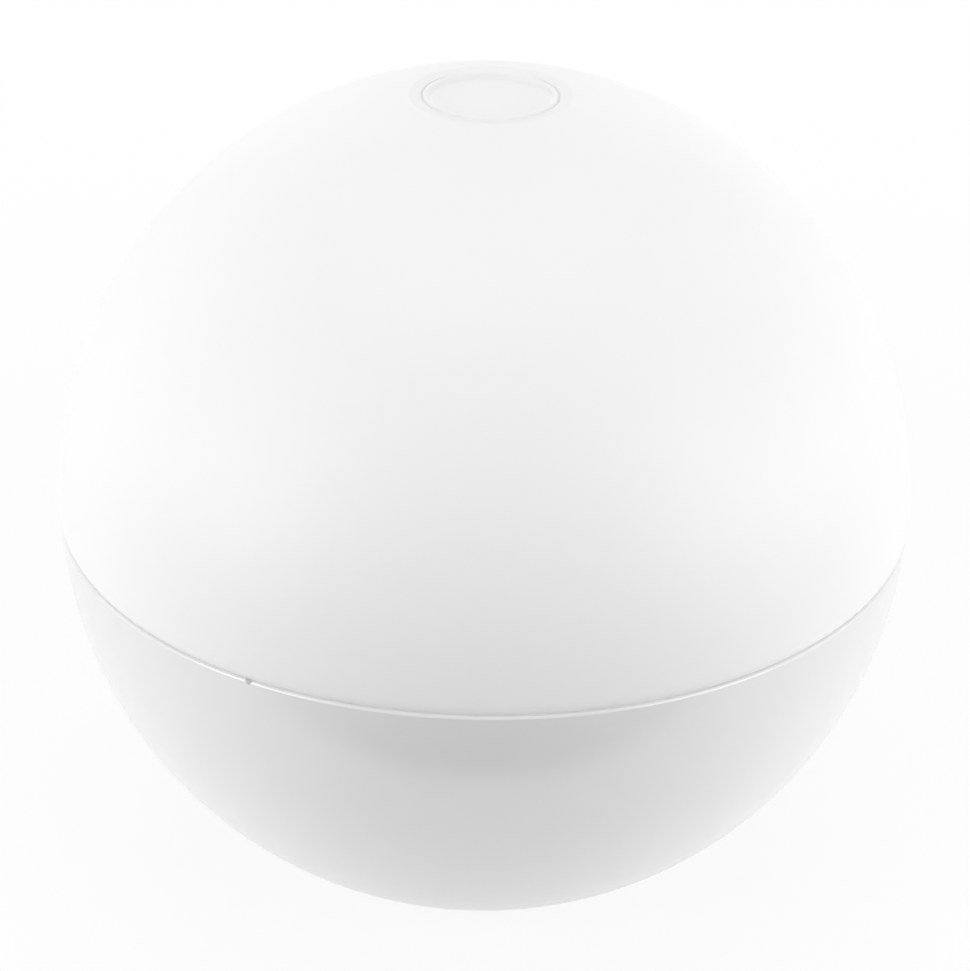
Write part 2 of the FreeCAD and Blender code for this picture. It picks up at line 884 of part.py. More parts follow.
def port_door():
    half = door_half_width
    length = barrel_offset + door_top
    middle = (barrel_offset - door_top) / 2
    plate = rounded_block(2 * half, length + door_corner, door_inner, base_radius + overlap,
                          door_corner, 0.0, middle + door_corner / 2)
    plate = plate.common(block(2 * half, length, door_inner, base_radius + overlap, 0.0, middle))
    plate = plate.common(ball(base_radius))
    start = FreeCAD.Vector(-half, barrel_offset, barrel_height)
    barrel = Part.makeCylinder(barrel_radius, 2 * half, start, across)
    body = plate.fuse(barrel.common(ball(base_radius - barrel_sink)))
    bore = Part.makeCylinder(pin_radius + door_bore_fit, 2 * half, start, across)
    return tilted(body.cut(bore))


def port_plug():
    length = port_slot_length - 2 * plug_clearance
    height = port_slot_height - 2 * plug_clearance
    return tilted(rounded_block(length, height, door_inner - plug_depth, door_inner, height / 2 - edge_flat))


def hinge_pin():
    start = FreeCAD.Vector(-pin_half_length, barrel_offset, barrel_height)
    return tilted(Part.makeCylinder(pin_radius, 2 * pin_half_length, start, across))


def usb_socket():
    mouth = base_radius - usb_setback
    back = mouth - usb_length
    body = rounded_block(usb_width, usb_height, back, mouth, usb_height / 2 - edge_flat)
    hollow = rounded_block(usb_width - 2 * usb_wall, usb_height - 2 * usb_wall, back + 2 * usb_wall, mouth,
                           usb_height / 2 - usb_wall - edge_flat)
    tongue = block(usb_tongue_width, usb_tongue_height, back + usb_wall, back + usb_wall + usb_tongue_length)
    return tilted(body.cut(hollow).fuse(tongue))


def port_board():
    high = base_radius - block_depth - port_board_gap
    body = block(2 * port_board_half_width, board_thickness, high - port_board_length, high,
                 0.0, (usb_height + board_thickness) / 2)
    holes = []
    for place in port_screw_places():
        holes.append(Part.makeCylinder(screw_hole, board_thickness, place, along))
    return tilted(body.cut(holes))


def port_board_screws():
    return tilted(group([screw(place, -along) for place in port_screw_places()]))


# The wires, each from a solder pad to its socket

def switch_leads():
    top = control_top + socket_height
    return group([
        lead([
            (side * lead_pitch, 0.0, column_top),
            (side * lead_pitch, 0.0, column_top - 15.0),
            (side * lead_pitch, 1.5, column_top - 36.0),
            (side * lead_pitch, -1.5, top + 30.0),
            (side * lead_pitch, 0.0, top + 12.0),
            (side * lead_pitch, 0.0, top),
        ])
        for side in (-1, 1)
    ])


def led_leads():
    pad = plate_top + board_thickness + lead_radius
    entry = control_top + socket_height / 2
    return group([
        lead([
            (side * lead_pitch, led_board_inner + 4.0, pad + 0.1),
            (side * lead_pitch, lead_hole_offset + 0.4, pad + 1.2),
            (side * lead_pitch, lead_hole_offset - 0.2, plate_under - 1.0),
            (side * lead_pitch, lead_hole_offset - 1.2, entry),
            (side * lead_pitch, socket_offset_y + socket_width / 2, entry),
        ])
        for side in (-1, 1)
    ])


def battery_lead_red():
    start = (cell_length + link_thickness) / 2
    link_top = cell_height + link_height / 2
    plug = control_under - socket_height
    return lead([
        (start, 0.0, link_top),
        (start, 0.0, link_top + 9.0),
        (27.0, 1.5, -50.0),
        (socket_offset_x + lead_pitch, 0.0, -39.0),
        (socket_offset_x + lead_pitch, 0.0, plug),
    ])


def battery_lead_black():
    start = -(cell_length + link_thickness) / 2
    link_top = cell_height + link_height / 2
    plug = control_under - socket_height
    return lead([
        (start, 0.0, link_top),
        (start, 0.0, link_top + 9.0),
        (-20.0, -2.5, -52.0),
        (-2.0, -3.0, -48.0),
        (11.0, -2.0, -45.0),
        (socket_offset_x - lead_pitch, 0.0, -39.0),
        (socket_offset_x - lead_pitch, 0.0, plug),
    ])


def port_leads():
    plug = control_under - socket_height
    return group([
        lead([
            (side * lead_pitch - 2.0, 59.2, -46.6),
            (side * lead_pitch - 5.0, 50.0, -39.5),
            (side * lead_pitch - 12.0, 33.0, -36.5),
            (side * lead_pitch - 17.0, 12.0, -41.5),
            (side * lead_pitch - socket_offset_x, 0.0, -38.0),
            (side * lead_pitch - socket_offset_x, 0.0, plug),
        ])
        for side in (-1, 1)
    ])


makers = [
    diffuser_globe, base_shell, seam_seal, foot_ring,
    button_cap, button_seal, button_clip, button_spring,
    push_switch, switch_plunger, switch_board, switch_board_screws,
    lamp_column, column_screws, reflector_plate, plate_screws,
    led_board, led_chips, led_board_screws,
    control_board, control_board_screws, lead_sockets, driver_chip, power_coil, capacitors,
    battery_cell_front, battery_cell_back, cell_link_left, cell_link_right,
    battery_tray, battery_clamp, tray_screws, clamp_screws,
    port_door, port_plug, hinge_pin, usb_socket, port_board, port_board_screws,
    switch_leads, led_leads, battery_lead_red, battery_lead_black, port_leads,
]

for maker in makers:
    piece = maker()
    piece.translate(up * centre_height)
    piece.exportStep("parts/" + maker.__name__ + ".step")
    print(maker.__name__, len(piece.Solids), round(piece.Volume, 1))
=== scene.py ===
import json
import math

import bpy
from mathutils import Matrix, Vector


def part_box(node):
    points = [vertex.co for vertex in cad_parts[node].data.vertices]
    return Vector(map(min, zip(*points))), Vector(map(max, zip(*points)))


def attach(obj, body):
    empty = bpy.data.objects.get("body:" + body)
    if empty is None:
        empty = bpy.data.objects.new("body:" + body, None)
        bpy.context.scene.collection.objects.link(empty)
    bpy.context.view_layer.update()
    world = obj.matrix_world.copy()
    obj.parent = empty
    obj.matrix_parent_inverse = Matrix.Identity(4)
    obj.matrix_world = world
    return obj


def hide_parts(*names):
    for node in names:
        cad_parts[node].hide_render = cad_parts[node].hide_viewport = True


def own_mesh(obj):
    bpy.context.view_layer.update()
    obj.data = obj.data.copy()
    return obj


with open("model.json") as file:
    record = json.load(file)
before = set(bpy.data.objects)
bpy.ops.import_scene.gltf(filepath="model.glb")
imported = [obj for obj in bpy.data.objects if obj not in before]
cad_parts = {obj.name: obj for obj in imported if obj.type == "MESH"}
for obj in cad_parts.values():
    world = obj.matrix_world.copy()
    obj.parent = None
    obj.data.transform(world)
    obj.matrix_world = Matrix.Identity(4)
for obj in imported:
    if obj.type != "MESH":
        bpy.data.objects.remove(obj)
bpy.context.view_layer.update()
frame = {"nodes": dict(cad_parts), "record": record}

mm = 0.001
fullTurn = 2 * math.pi
sharpAngle = math.radians(30)
hair = 0.01 * mm                 # closer than this counts as the same place
black = (0, 0, 0, 1)
white = (1, 1, 1, 1)

# The globe's own sizes come from the frame wherever it holds them.
shellLow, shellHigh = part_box("diffuser_globe")
capLow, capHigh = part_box("button_cap")
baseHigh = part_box("base_shell")[1]
footLow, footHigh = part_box("foot_ring")
plateLow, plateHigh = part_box("reflector_plate")
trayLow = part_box("battery_tray")[0]
springLow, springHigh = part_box("button_spring")

globe = {
    "radius": (shellHigh.x - shellLow.x) / 2,
    "wall": 2.5 * mm,
    "landRadius": 18.2 * mm,     # flat ring round the button
    "landSink": 0.15 * mm,
    "spinSteps": 200,
    "meetTolerance": 0.002 * mm,
    "seamDrop": 2.1 * mm,        # from the globe's middle down to the seam
}
globe["centre"] = Vector((0, 0, baseHigh.z + globe["seamDrop"]))
globe["inner"] = globe["radius"] - globe["wall"]


# Modelling helpers

def pickOnly(piece):
    bpy.ops.object.select_all(action="DESELECT")
    piece.select_set(True)
    bpy.context.view_layer.objects.active = piece


def openEdit(piece, elements):
    # clears the selection, so that the caller can mark what it works on
    pickOnly(piece)
    bpy.ops.object.mode_set(mode="EDIT")
    bpy.ops.mesh.select_mode(type=elements)
    bpy.ops.mesh.select_all(action="DESELECT")
    bpy.ops.object.mode_set(mode="OBJECT")


def bevelEdges(piece, isChosen, width, segments):
    openEdit(piece, "EDGE")
    points = piece.data.vertices
    for edge in piece.data.edges:
        first, second = (points[index].co for index in edge.vertices)
        edge.select = isChosen(first, second)
    bpy.ops.object.mode_set(mode="EDIT")
    bpy.ops.mesh.bevel(offset=width, segments=segments, affect="EDGES")
    bpy.ops.object.mode_set(mode="OBJECT")


def settle(piece):
    pickOnly(piece)
    bpy.ops.object.transform_apply(location=True, rotation=True, scale=True)
    return piece


def addBlock(name, low, high):
    middle = [(a + b) / 2 for a, b in zip(low, high)]
    size = [b - a for a, b in zip(low, high)]
    bpy.ops.object.select_all(action="DESELECT")
    bpy.ops.mesh.primitive_cube_add(size=1, location=middle)
    piece = bpy.context.object
    piece.name = name
    piece.scale = size
    return settle(piece)


def addRod(name, radius, start, end, sides=48):
    # a round rod between two points
    along = Vector(end) - Vector(start)
    turn = along.to_track_quat("Z", "Y").to_euler()
    middle = (Vector(start) + Vector(end)) / 2
    bpy.ops.object.select_all(action="DESELECT")
    bpy.ops.mesh.primitive_cylinder_add(vertices=sides, radius=radius, depth=along.length,
                                        location=middle, rotation=turn)
    piece = bpy.context.object
    piece.name = name
    return settle(piece)


def arcPoints(centre, radius, start, end, steps):
    # (radius, height) points along an arc, with angles in degrees from the outward direction
    points = []
    for step in range(steps + 1):
        angle = math.radians(start + (end - start) * step / steps)
        points.append((centre[0] + radius * math.cos(angle), centre[1] + radius * math.sin(angle)))
    return points


def angleOf(point, centre=(0.0, 0.0)):
    return math.degrees(math.atan2(point[1] - centre[1], point[0] - centre[0]))


def spinOutline(name, outline, steps):
    # one vertex is extruded along the outline, which is then spun round the globe's axis
    middle = globe["centre"].z
    bpy.ops.object.select_all(action="DESELECT")
    bpy.ops.mesh.primitive_plane_add(size=mm, location=(outline[0][0], 0, middle + outline[0][1]))
    piece = bpy.context.object
    piece.name = name
    bpy.ops.object.mode_set(mode="EDIT")
    bpy.ops.mesh.select_mode(type="VERT")
    bpy.ops.mesh.merge(type="CENTER")
    for last, point in zip(outline, outline[1:]):
        move = (point[0] - last[0], 0, point[1] - last[1])
        bpy.ops.mesh.extrude_region_move(TRANSFORM_OT_translate={"value": move})
    bpy.ops.mesh.select_all(action="SELECT")
    bpy.ops.mesh.spin(steps=steps, angle=fullTurn, center=(0, 0, 0), axis=(0, 0, 1))
    bpy.ops.mesh.select_all(action="SELECT")
    bpy.ops.mesh.remove_doubles(threshold=globe["meetTolerance"])
    bpy.ops.mesh.normals_make_consistent(inside=False)
    bpy.ops.object.mode_set(mode="OBJECT")
    return settle(piece)


def combine(piece, other, operation):
    pickOnly(piece)
    modifier = piece.modifiers.new(operation.lower(), "BOOLEAN")
    modifier.operation = operation
    modifier.solver = "MANIFOLD"
    modifier.object = other
    bpy.ops.object.modifier_apply(modifier=modifier.name)
    bpy.data.objects.remove(other)
    return piece


def joinAll(pieces):
    bpy.ops.object.select_all(action="DESELECT")
    for piece in pieces:
        piece.select_set(True)
    bpy.context.view_layer.objects.active = pieces[0]
    bpy.ops.object.join()
    return bpy.context.object


def smoothPiece(piece, sphereRadius=None):
    # smooth shading, with exactly radial normals where a face lies on the globe's outer surface
    pickOnly(piece)
    bpy.ops.object.shade_smooth_by_angle(angle=sharpAngle)
    if sphereRadius is None:
        return
    mesh = piece.data
    normals = [corner.vector.copy() for corner in mesh.corner_normals]
    for face in mesh.polygons:
        arms = [mesh.vertices[index].co - globe["centre"] for index in face.vertices]
        if all(abs(arm.length - sphereRadius) < hair for arm in arms):
            for corner, arm in zip(face.loop_indices, arms):
                normals[corner] = arm.normalized()
    mesh.normals_split_custom_set(normals)


def finishPiece(piece, body, node):
    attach(piece, body)
    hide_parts(node)
    print("made", piece.name, len(piece.data.polygons), "faces")
    return piece


# The upper shell

diffuser = {
    "seamRound": 4.0 * mm,
    "seamLean": 45,              # where the rounding ends, in degrees below level
    "landEdge": 0.3 * mm,
    "wellRadius": 15.5 * mm,
    "wellDepth": 8.0 * mm,
    "wellWall": 2.0 * mm,
    "bushRadius": 6.5 * mm,
    "bushBore": 4.06 * mm,
    "bushTop": 5.0 * mm,
    "bushBottom": 13.0 * mm,
    "shoulder": 6.0 * mm,
    "spigotOuter": 96.5 * mm,
    "spigotInner": 94.6 * mm,
    "spigotStep": 1.0 * mm,
    "spigotLength": 7.0 * mm,
    "beadRadius": 97.2 * mm,
    "beadDrop": 5.0 * mm,
    "beadHalf": 0.8 * mm,
    "sealGroove": 95.2 * mm,
    "sealDrop": 2.2 * mm,
    "sealHalf": 0.8 * mm,
    "outerSteps": 80,
    "innerSteps": 40,
    "roundSteps": 8,
    "edgeSteps": 4,
}


def heightOn(radius, distance):
    return math.sqrt(radius ** 2 - distance ** 2)


def makeDiffuser():
    d = diffuser
    seam = -globe["seamDrop"]
    crest = capHigh.z - globe["centre"].z
    land = heightOn(globe["radius"], globe["landRadius"]) - globe["landSink"]
    reach = globe["radius"] - d["seamRound"]
    roundHeight = seam + d["seamRound"] * math.sin(math.radians(d["seamLean"]))
    roundCentre = (heightOn(reach, roundHeight), roundHeight)
    wellFloor = crest - d["wellDepth"]
    wellOuter = d["wellRadius"] + d["wellWall"]
    edge = d["landEdge"]
    outline = [(d["spigotOuter"], seam)]
    outline += arcPoints(roundCentre, d["seamRound"], -d["seamLean"], angleOf(roundCentre), d["roundSteps"])
    landAngle = angleOf((globe["landRadius"], heightOn(globe["radius"], globe["landRadius"])))
    outline += arcPoints((0, 0), globe["radius"], angleOf(roundCentre), landAngle, d["outerSteps"])[1:]
    outline.append((globe["landRadius"] - edge, land))
    outline += arcPoints((d["wellRadius"] + edge, land - edge), edge, 90, 180, d["edgeSteps"])
    outline += [(d["wellRadius"], wellFloor), (d["bushRadius"], wellFloor)]
    outline += [(d["bushRadius"], crest - d["bushTop"]), (d["bushBore"], crest - d["bushTop"])]
    outline += [(d["bushBore"], crest - d["bushBottom"]), (d["bushRadius"], crest - d["bushBottom"])]
    outline += [(d["bushRadius"], wellFloor - d["wellWall"]), (wellOuter, wellFloor - d["wellWall"])]
    innerTop = (wellOuter, heightOn(globe["inner"], wellOuter))
    innerLow = (heightOn(globe["inner"], seam + d["shoulder"]), seam + d["shoulder"])
    outline += arcPoints((0, 0), globe["inner"], angleOf(innerTop), angleOf(innerLow), d["innerSteps"])
    tip = seam - d["spigotLength"]
    bead = seam - d["beadDrop"]
    seal = seam - d["sealDrop"]
    outline += [(d["spigotInner"], seam + d["spigotStep"]), (d["spigotInner"], tip)]
    outline += [(d["spigotOuter"] - edge, tip), (d["spigotOuter"], bead - d["beadHalf"])]
    outline += [(d["beadRadius"], bead), (d["spigotOuter"], bead + d["beadHalf"])]
    outline += [(d["spigotOuter"], seal - d["sealHalf"]), (d["sealGroove"], seal - d["sealHalf"])]
    outline += [(d["sealGroove"], seal + d["sealHalf"]), (d["spigotOuter"], seal + d["sealHalf"])]
    outline.append(outline[0])
    piece = spinOutline("diffuserShell", outline, globe["spinSteps"])
    smoothPiece(piece, globe["radius"])
    return finishPiece(piece, "globe", "diffuser_globe")


# The charging port is drawn about the vertical through the globe's centre, then tilted into place.

port = {
    "angle": math.radians(38),
    "blockHalf": 14.0 * mm,
    "blockUp": 10.0 * mm,
    "blockDown": 12.5 * mm,
    "blockDepth": 7.5 * mm,
    "blockTop": 97.55 * mm,      # ends inside the wall all over
    "shelfHalf": 9.0 * mm,
    "shelfNear": 3.23 * mm,
    "shelfThickness": 3.5 * mm,
    "shelfReach": 14.5 * mm,
    "screwX": 6.6 * mm,
    "screwInset": 3.5 * mm,
    "screwRoom": 8.0 * mm,
    "boardGap": 0.5 * mm,
    "boardLength": 14.0 * mm,
    "doorHalf": 9.5 * mm,
    "doorTop": 6.5 * mm,
    "doorCorner": 2.0 * mm,
    "doorThickness": 2.2 * mm,
    "gap": 0.25 * mm,
    "barrelDrop": 8.0 * mm,
    "barrelRadius": 1.4 * mm,
    "barrelRoom": 0.35 * mm,
    "boreRadius": 0.68 * mm,
    "pinHole": 0.62 * mm,
    "pinHalf": 11.52 * mm,
    "slotLength": 9.5 * mm,
    "slotHeight": 3.8 * mm,
    "scoopWidth": 7.0 * mm,
    "scoopReach": 1.4 * mm,
    "scoopDepth": 1.2 * mm,
    "roundShare": 0.96,          # of half a slot's width, so its ends keep a hair of flat
    "ballSteps": 120,
    "above": 2.0 * mm,           # how far a cutter stands out of the surface
    "cornerSteps": 6,
    "pilotRadius": 1.3 * mm,
    "pilotSides": 24,
    "pinSides": 32,
}


def tiltToPort(piece):
    piece.rotation_euler = (-(math.pi / 2 + port["angle"]), 0, 0)
    piece.location = globe["centre"]
    return settle(piece)


def isUpright(first, second):
    return abs(first.x - second.x) + abs(first.y - second.y) < hair


def isTopCorner(first, second):
    return isUpright(first, second) and first.y < 0


def roundedBlock(name, low, high, corner, isRounded=isUpright):
    piece = addBlock(name, low, high)
    bevelEdges(piece, isRounded, corner, port["cornerSteps"])
    return piece


# The lower shell

base = {
    "radius": 99.7 * mm,
    "rimRound": 0.7 * mm,
    "rimBore": 96.6 * mm,
    "flatRadius": 45.0 * mm,
    "flatRound": 4.0 * mm,
    "floor": 3.2 * mm,
    "footInner": 35.0 * mm,
    "footOuter": 41.0 * mm,
    "footDepth": 1.6 * mm,
    "recessRadius": 30.0 * mm,
    "recessDepth": 0.6 * mm,
    "grooveRadius": 97.35 * mm,
    "grooveHalf": 1.1 * mm,
    "outerSteps": 60,
    "innerSteps": 30,
    "roundSteps": 6,
}

notch = {
    "angle": math.radians(-29.8),    # from the front, towards the left
    "width": 2.0 * mm,
    "height": 1.2 * mm,
    "depth": 2.0 * mm,
    "spare": 0.3 * mm,
}

boss = {
    "circle": 86.0 * mm,
    "count": 6,
    "firstAngle": math.radians(30),
    "radius": 4.2 * mm,
    "reach": 45.0 * mm,
    "plateDrop": 4.5 * mm,       # from the top of the plate down to the posts
    "wallSink": 1.0 * mm,
    "ballSteps": 60,
    "ballSpin": 120,
    "holeDepth": 7.6 * mm,
    "trayX": 32.0 * mm,
    "trayY": 24.5 * mm,
    "trayRadius": 4.0 * mm,
    "trayHoleDepth": 4.4 * mm,
    "sides": 40,
}


def baseOutline():
    b = base
    seam = -globe["seamDrop"]
    flat = -heightOn(b["radius"], b["flatRadius"])
    floorTop = flat + b["floor"]
    inner = b["radius"] - globe["wall"]
    rimReach = b["radius"] - b["rimRound"]
    rimCentre = (heightOn(rimReach, seam - b["rimRound"]), seam - b["rimRound"])
    flatReach = b["radius"] - b["flatRound"]
    flatCentre = (heightOn(flatReach, flat + b["flatRound"]), flat + b["flatRound"])
    outline = [(0, flat + b["recessDepth"]), (b["recessRadius"], flat + b["recessDepth"])]
    outline += [(b["recessRadius"], flat), (b["footInner"], flat), (b["footInner"], flat + b["footDepth"])]
    outline += [(b["footOuter"], flat + b["footDepth"]), (b["footOuter"], flat)]
    outline += arcPoints(flatCentre, b["flatRound"], -90, angleOf(flatCentre), b["roundSteps"])
    outline += arcPoints((0, 0), b["radius"], angleOf(flatCentre), angleOf(rimCentre), b["outerSteps"])[1:]
    outline += arcPoints(rimCentre, b["rimRound"], angleOf(rimCentre), 90, b["roundSteps"])[1:]
    grooveTop = seam - diffuser["beadDrop"] + b["grooveHalf"]
    grooveLow = seam - diffuser["beadDrop"] - b["grooveHalf"]
    outline += [(b["rimBore"], seam), (b["rimBore"], grooveTop), (b["grooveRadius"], grooveTop)]
    outline += [(b["grooveRadius"], grooveLow), (b["rimBore"], grooveLow)]
    innerTop = (b["rimBore"], -heightOn(inner, b["rimBore"]))
    innerLow = (heightOn(inner, floorTop), floorTop)
    outline += arcPoints((0, 0), inner, angleOf(innerTop), angleOf(innerLow), b["innerSteps"])
    outline.append((0, floorTop))
    return outline


def platePlaces():
    turns = [boss["firstAngle"] + fullTurn * step / boss["count"] for step in range(boss["count"])]
    return [(boss["circle"] * math.cos(turn), boss["circle"] * math.sin(turn)) for turn in turns]


def trayPlaces():
    return [(side * boss["trayX"], end * boss["trayY"]) for side in (-1, 1) for end in (-1, 1)]


def makeBosses():
    # screw posts for the plate, trimmed inside the wall, and short ones for the battery tray
    low = plateLow.z - boss["reach"]
    top = plateHigh.z - boss["plateDrop"]
    posts = joinAll([addRod("platePost", boss["radius"], (x, y, low), (x, y, top), boss["sides"])
                     for x, y in platePlaces()])
    reach = base["radius"] - globe["wall"] + boss["wallSink"]
    ballOutline = arcPoints((0, 0), reach, -90, 90, boss["ballSteps"])
    posts = combine(posts, spinOutline("trimBall", ballOutline, boss["ballSpin"]), "INTERSECT")
    trayTop = trayLow.z
    floorTop = globe["centre"].z - heightOn(base["radius"], base["flatRadius"]) + base["floor"]
    short = [addRod("trayPost", boss["trayRadius"], (x, y, floorTop - mm), (x, y, trayTop),
                    boss["sides"]) for x, y in trayPlaces()]
    return joinAll([posts] + short), top, trayTop


def bossHoles(top, trayTop):
    holes = [addRod("plateHole", port["pilotRadius"], (x, y, top - boss["holeDepth"]),
                    (x, y, top + mm), port["pilotSides"]) for x, y in platePlaces()]
    holes += [addRod("trayHole", port["pilotRadius"], (x, y, trayTop - boss["trayHoleDepth"]),
                     (x, y, trayTop + mm), port["pilotSides"]) for x, y in trayPlaces()]
    return joinAll(holes)


def makePortBlock():
    p = port
    depthLow = base["radius"] - p["blockDepth"]
    block = addBlock("portBlock", (-p["blockHalf"], -p["blockUp"], depthLow),
                     (p["blockHalf"], p["blockDown"], p["blockTop"]))
    shelf = addBlock("portShelf", (-p["shelfHalf"], p["shelfNear"], depthLow - p["shelfReach"]),
                     (p["shelfHalf"], p["shelfNear"] + p["shelfThickness"], depthLow + mm))
    return tiltToPort(combine(block, shelf, "UNION"))


def portCutters():
    p = port
    half = p["doorHalf"] + p["gap"]
    high = base["radius"] + p["above"]
    topEdge = -(p["doorTop"] + p["gap"])
    barrel = heightOn(base["radius"], p["barrelDrop"]) - p["barrelRadius"]
    pocket = p["barrelRadius"] + p["barrelRoom"]
    recessLow = base["radius"] - p["doorThickness"] - p["gap"]
    depthLow = base["radius"] - p["blockDepth"]
    cutter = roundedBlock("recess", (-half, topEdge, recessLow), (half, p["barrelDrop"], high),
                          p["doorCorner"], isTopCorner)
    cutter = combine(cutter, addRod("hingePocket", pocket, (-half, p["barrelDrop"], barrel),
                                    (half, p["barrelDrop"], barrel)), "UNION")
    cutter = combine(cutter, addBlock("pocketMouth", (-half, p["barrelDrop"] - pocket, barrel),
                                      (half, p["barrelDrop"] + pocket, high)), "UNION")
    slotHalf = (p["slotLength"] / 2, p["slotHeight"] / 2)
    slotTool = roundedBlock("slot", (-slotHalf[0], -slotHalf[1], depthLow - mm),
                            (slotHalf[0], slotHalf[1], high), slotHalf[1] * p["roundShare"])
    cutter = combine(cutter, slotTool, "UNION")
    cutter = combine(cutter, roundedBlock("scoop", (-p["scoopWidth"] / 2, topEdge - p["scoopReach"],
                                                    base["radius"] - p["scoopDepth"]),
                                          (p["scoopWidth"] / 2, topEdge + p["scoopReach"], high),
                                          p["scoopReach"] * p["roundShare"]), "UNION")
    cutter = combine(cutter, addRod("pinHole", p["pinHole"], (-p["pinHalf"], p["barrelDrop"], barrel),
                                    (p["pinHalf"], p["barrelDrop"], barrel), p["pinSides"]),
                     "UNION")
    for side in (-1, 1):
        x = side * p["screwX"]
        z = depthLow - p["boardGap"] - p["boardLength"] + p["screwInset"]
        cutter = combine(cutter, addRod("shelfHole", p["pilotRadius"], (x, p["shelfNear"] - mm, z),
                                        (x, p["shelfNear"] + p["screwRoom"], z),
                                        p["pilotSides"]), "UNION")
    return tiltToPort(cutter)


def notchCutter():
    # a wedge, wide at the seam and pointed below
    growth = (notch["height"] + notch["spare"]) / notch["height"]
    half = notch["width"] / 2 * growth
    seam = globe["centre"].z - globe["seamDrop"]
    low = seam - notch["height"]
    piece = addBlock("notchWedge", (-half, -base["radius"] - mm, low),
                     (half, -base["radius"] + notch["depth"], seam + notch["spare"]))
    openEdit(piece, "VERT")
    for point in piece.data.vertices:
        point.select = point.co.z < low + hair
    bpy.ops.object.mode_set(mode="EDIT")
    bpy.ops.transform.resize(value=(0, 1, 1))
    bpy.ops.mesh.select_all(action="SELECT")
    bpy.ops.mesh.remove_doubles(threshold=globe["meetTolerance"])
    bpy.ops.object.mode_set(mode="OBJECT")
    piece.rotation_euler = (0, 0, notch["angle"])
    return settle(piece)


def makeBase():
    piece = spinOutline("baseShell", baseOutline(), globe["spinSteps"])
    posts, top, trayTop = makeBosses()
    piece = combine(piece, posts, "UNION")
    piece = combine(piece, makePortBlock(), "UNION")
    piece = combine(piece, bossHoles(top, trayTop), "DIFFERENCE")
    piece = combine(piece, portCutters(), "DIFFERENCE")
    piece = combine(piece, notchCutter(), "DIFFERENCE")
    smoothPiece(piece, base["radius"])
    return finishPiece(piece, "globe", "base_shell")


# The push button

button = {
    "lipRound": 0.6 * mm,
    "lipSlope": 75,
    "dishDepth": 1.4 * mm,
    "dishSag": 0.15 * mm,
    "plate": 1.3 * mm,
    "skirtWall": 1.7 * mm,
    "skirtDepth": 5.5 * mm,
    "stemRadius": 4.0 * mm,
    "stemChamfer": 0.5 * mm,
    "sealDrop": 9.85 * mm,
    "sealHalf": 0.85 * mm,
    "sealBottom": 2.6 * mm,
    "clipRadius": 2.97 * mm,
    "clipTop": 13.02 * mm,
    "clipLow": 13.88 * mm,
    "roundSteps": 6,
    "lipSteps": 18,
    "dishSteps": 8,
    "spinSteps": 128,
}


def makeButton():
    b = button
    crest = capHigh.z - globe["centre"].z
    capRadius = (capHigh.x - capLow.x) / 2
    stemTip = capLow.z - globe["centre"].z
    slope = math.radians(b["lipSlope"])
    run = b["lipRound"] * math.sin(slope)
    fall = b["lipRound"] * (1 - math.cos(slope))
    lipRadius = capRadius - b["lipRound"]
    lipCentre = (lipRadius, crest - b["lipRound"])
    dishFloor = crest - b["dishDepth"]
    footRadius = lipRadius - 2 * run - (b["dishDepth"] - 2 * fall) / math.tan(slope)
    dishRadius = (footRadius ** 2 + b["dishSag"] ** 2) / (2 * b["dishSag"])
    dishCentre = (0, dishFloor - b["dishSag"] + dishRadius)
    underside = dishFloor - b["dishSag"] - b["plate"]
    dishTurn = angleOf((footRadius, dishFloor), dishCentre)
    outline = arcPoints(dishCentre, dishRadius, -90, dishTurn, b["dishSteps"])
    outline += arcPoints((footRadius, dishFloor + b["lipRound"]), b["lipRound"], -90, b["lipSlope"] - 90,
                         b["roundSteps"])
    outline += arcPoints(lipCentre, b["lipRound"], 90 + b["lipSlope"], 0, b["lipSteps"])
    skirtLow = crest - b["skirtDepth"]
    skirtInner = capRadius - b["skirtWall"]
    outline += [(capRadius, skirtLow), (skirtInner, skirtLow), (skirtInner, underside)]
    outline.append((b["stemRadius"], underside))
    for groove, top, low in (("sealBottom", b["sealDrop"] - b["sealHalf"], b["sealDrop"] + b["sealHalf"]),
                             ("clipRadius", b["clipTop"], b["clipLow"])):
        outline += [(b["stemRadius"], crest - top), (b[groove], crest - top)]
        outline += [(b[groove], crest - low), (b["stemRadius"], crest - low)]
    outline.append((b["stemRadius"], stemTip + b["stemChamfer"]))
    outline += [(b["stemRadius"] - b["stemChamfer"], stemTip), (0, stemTip)]
    piece = spinOutline("buttonTop", outline, b["spinSteps"])
    smoothPiece(piece)
    return finishPiece(piece, "button", "button_cap")


spring = {
    "wire": 0.4 * mm,
    "turns": 3.5,
    "coilRadius": 8.6 * mm,
    "stepsPerTurn": 48,
    "wireSides": 12,
    "travel": 1.2 * mm,
}


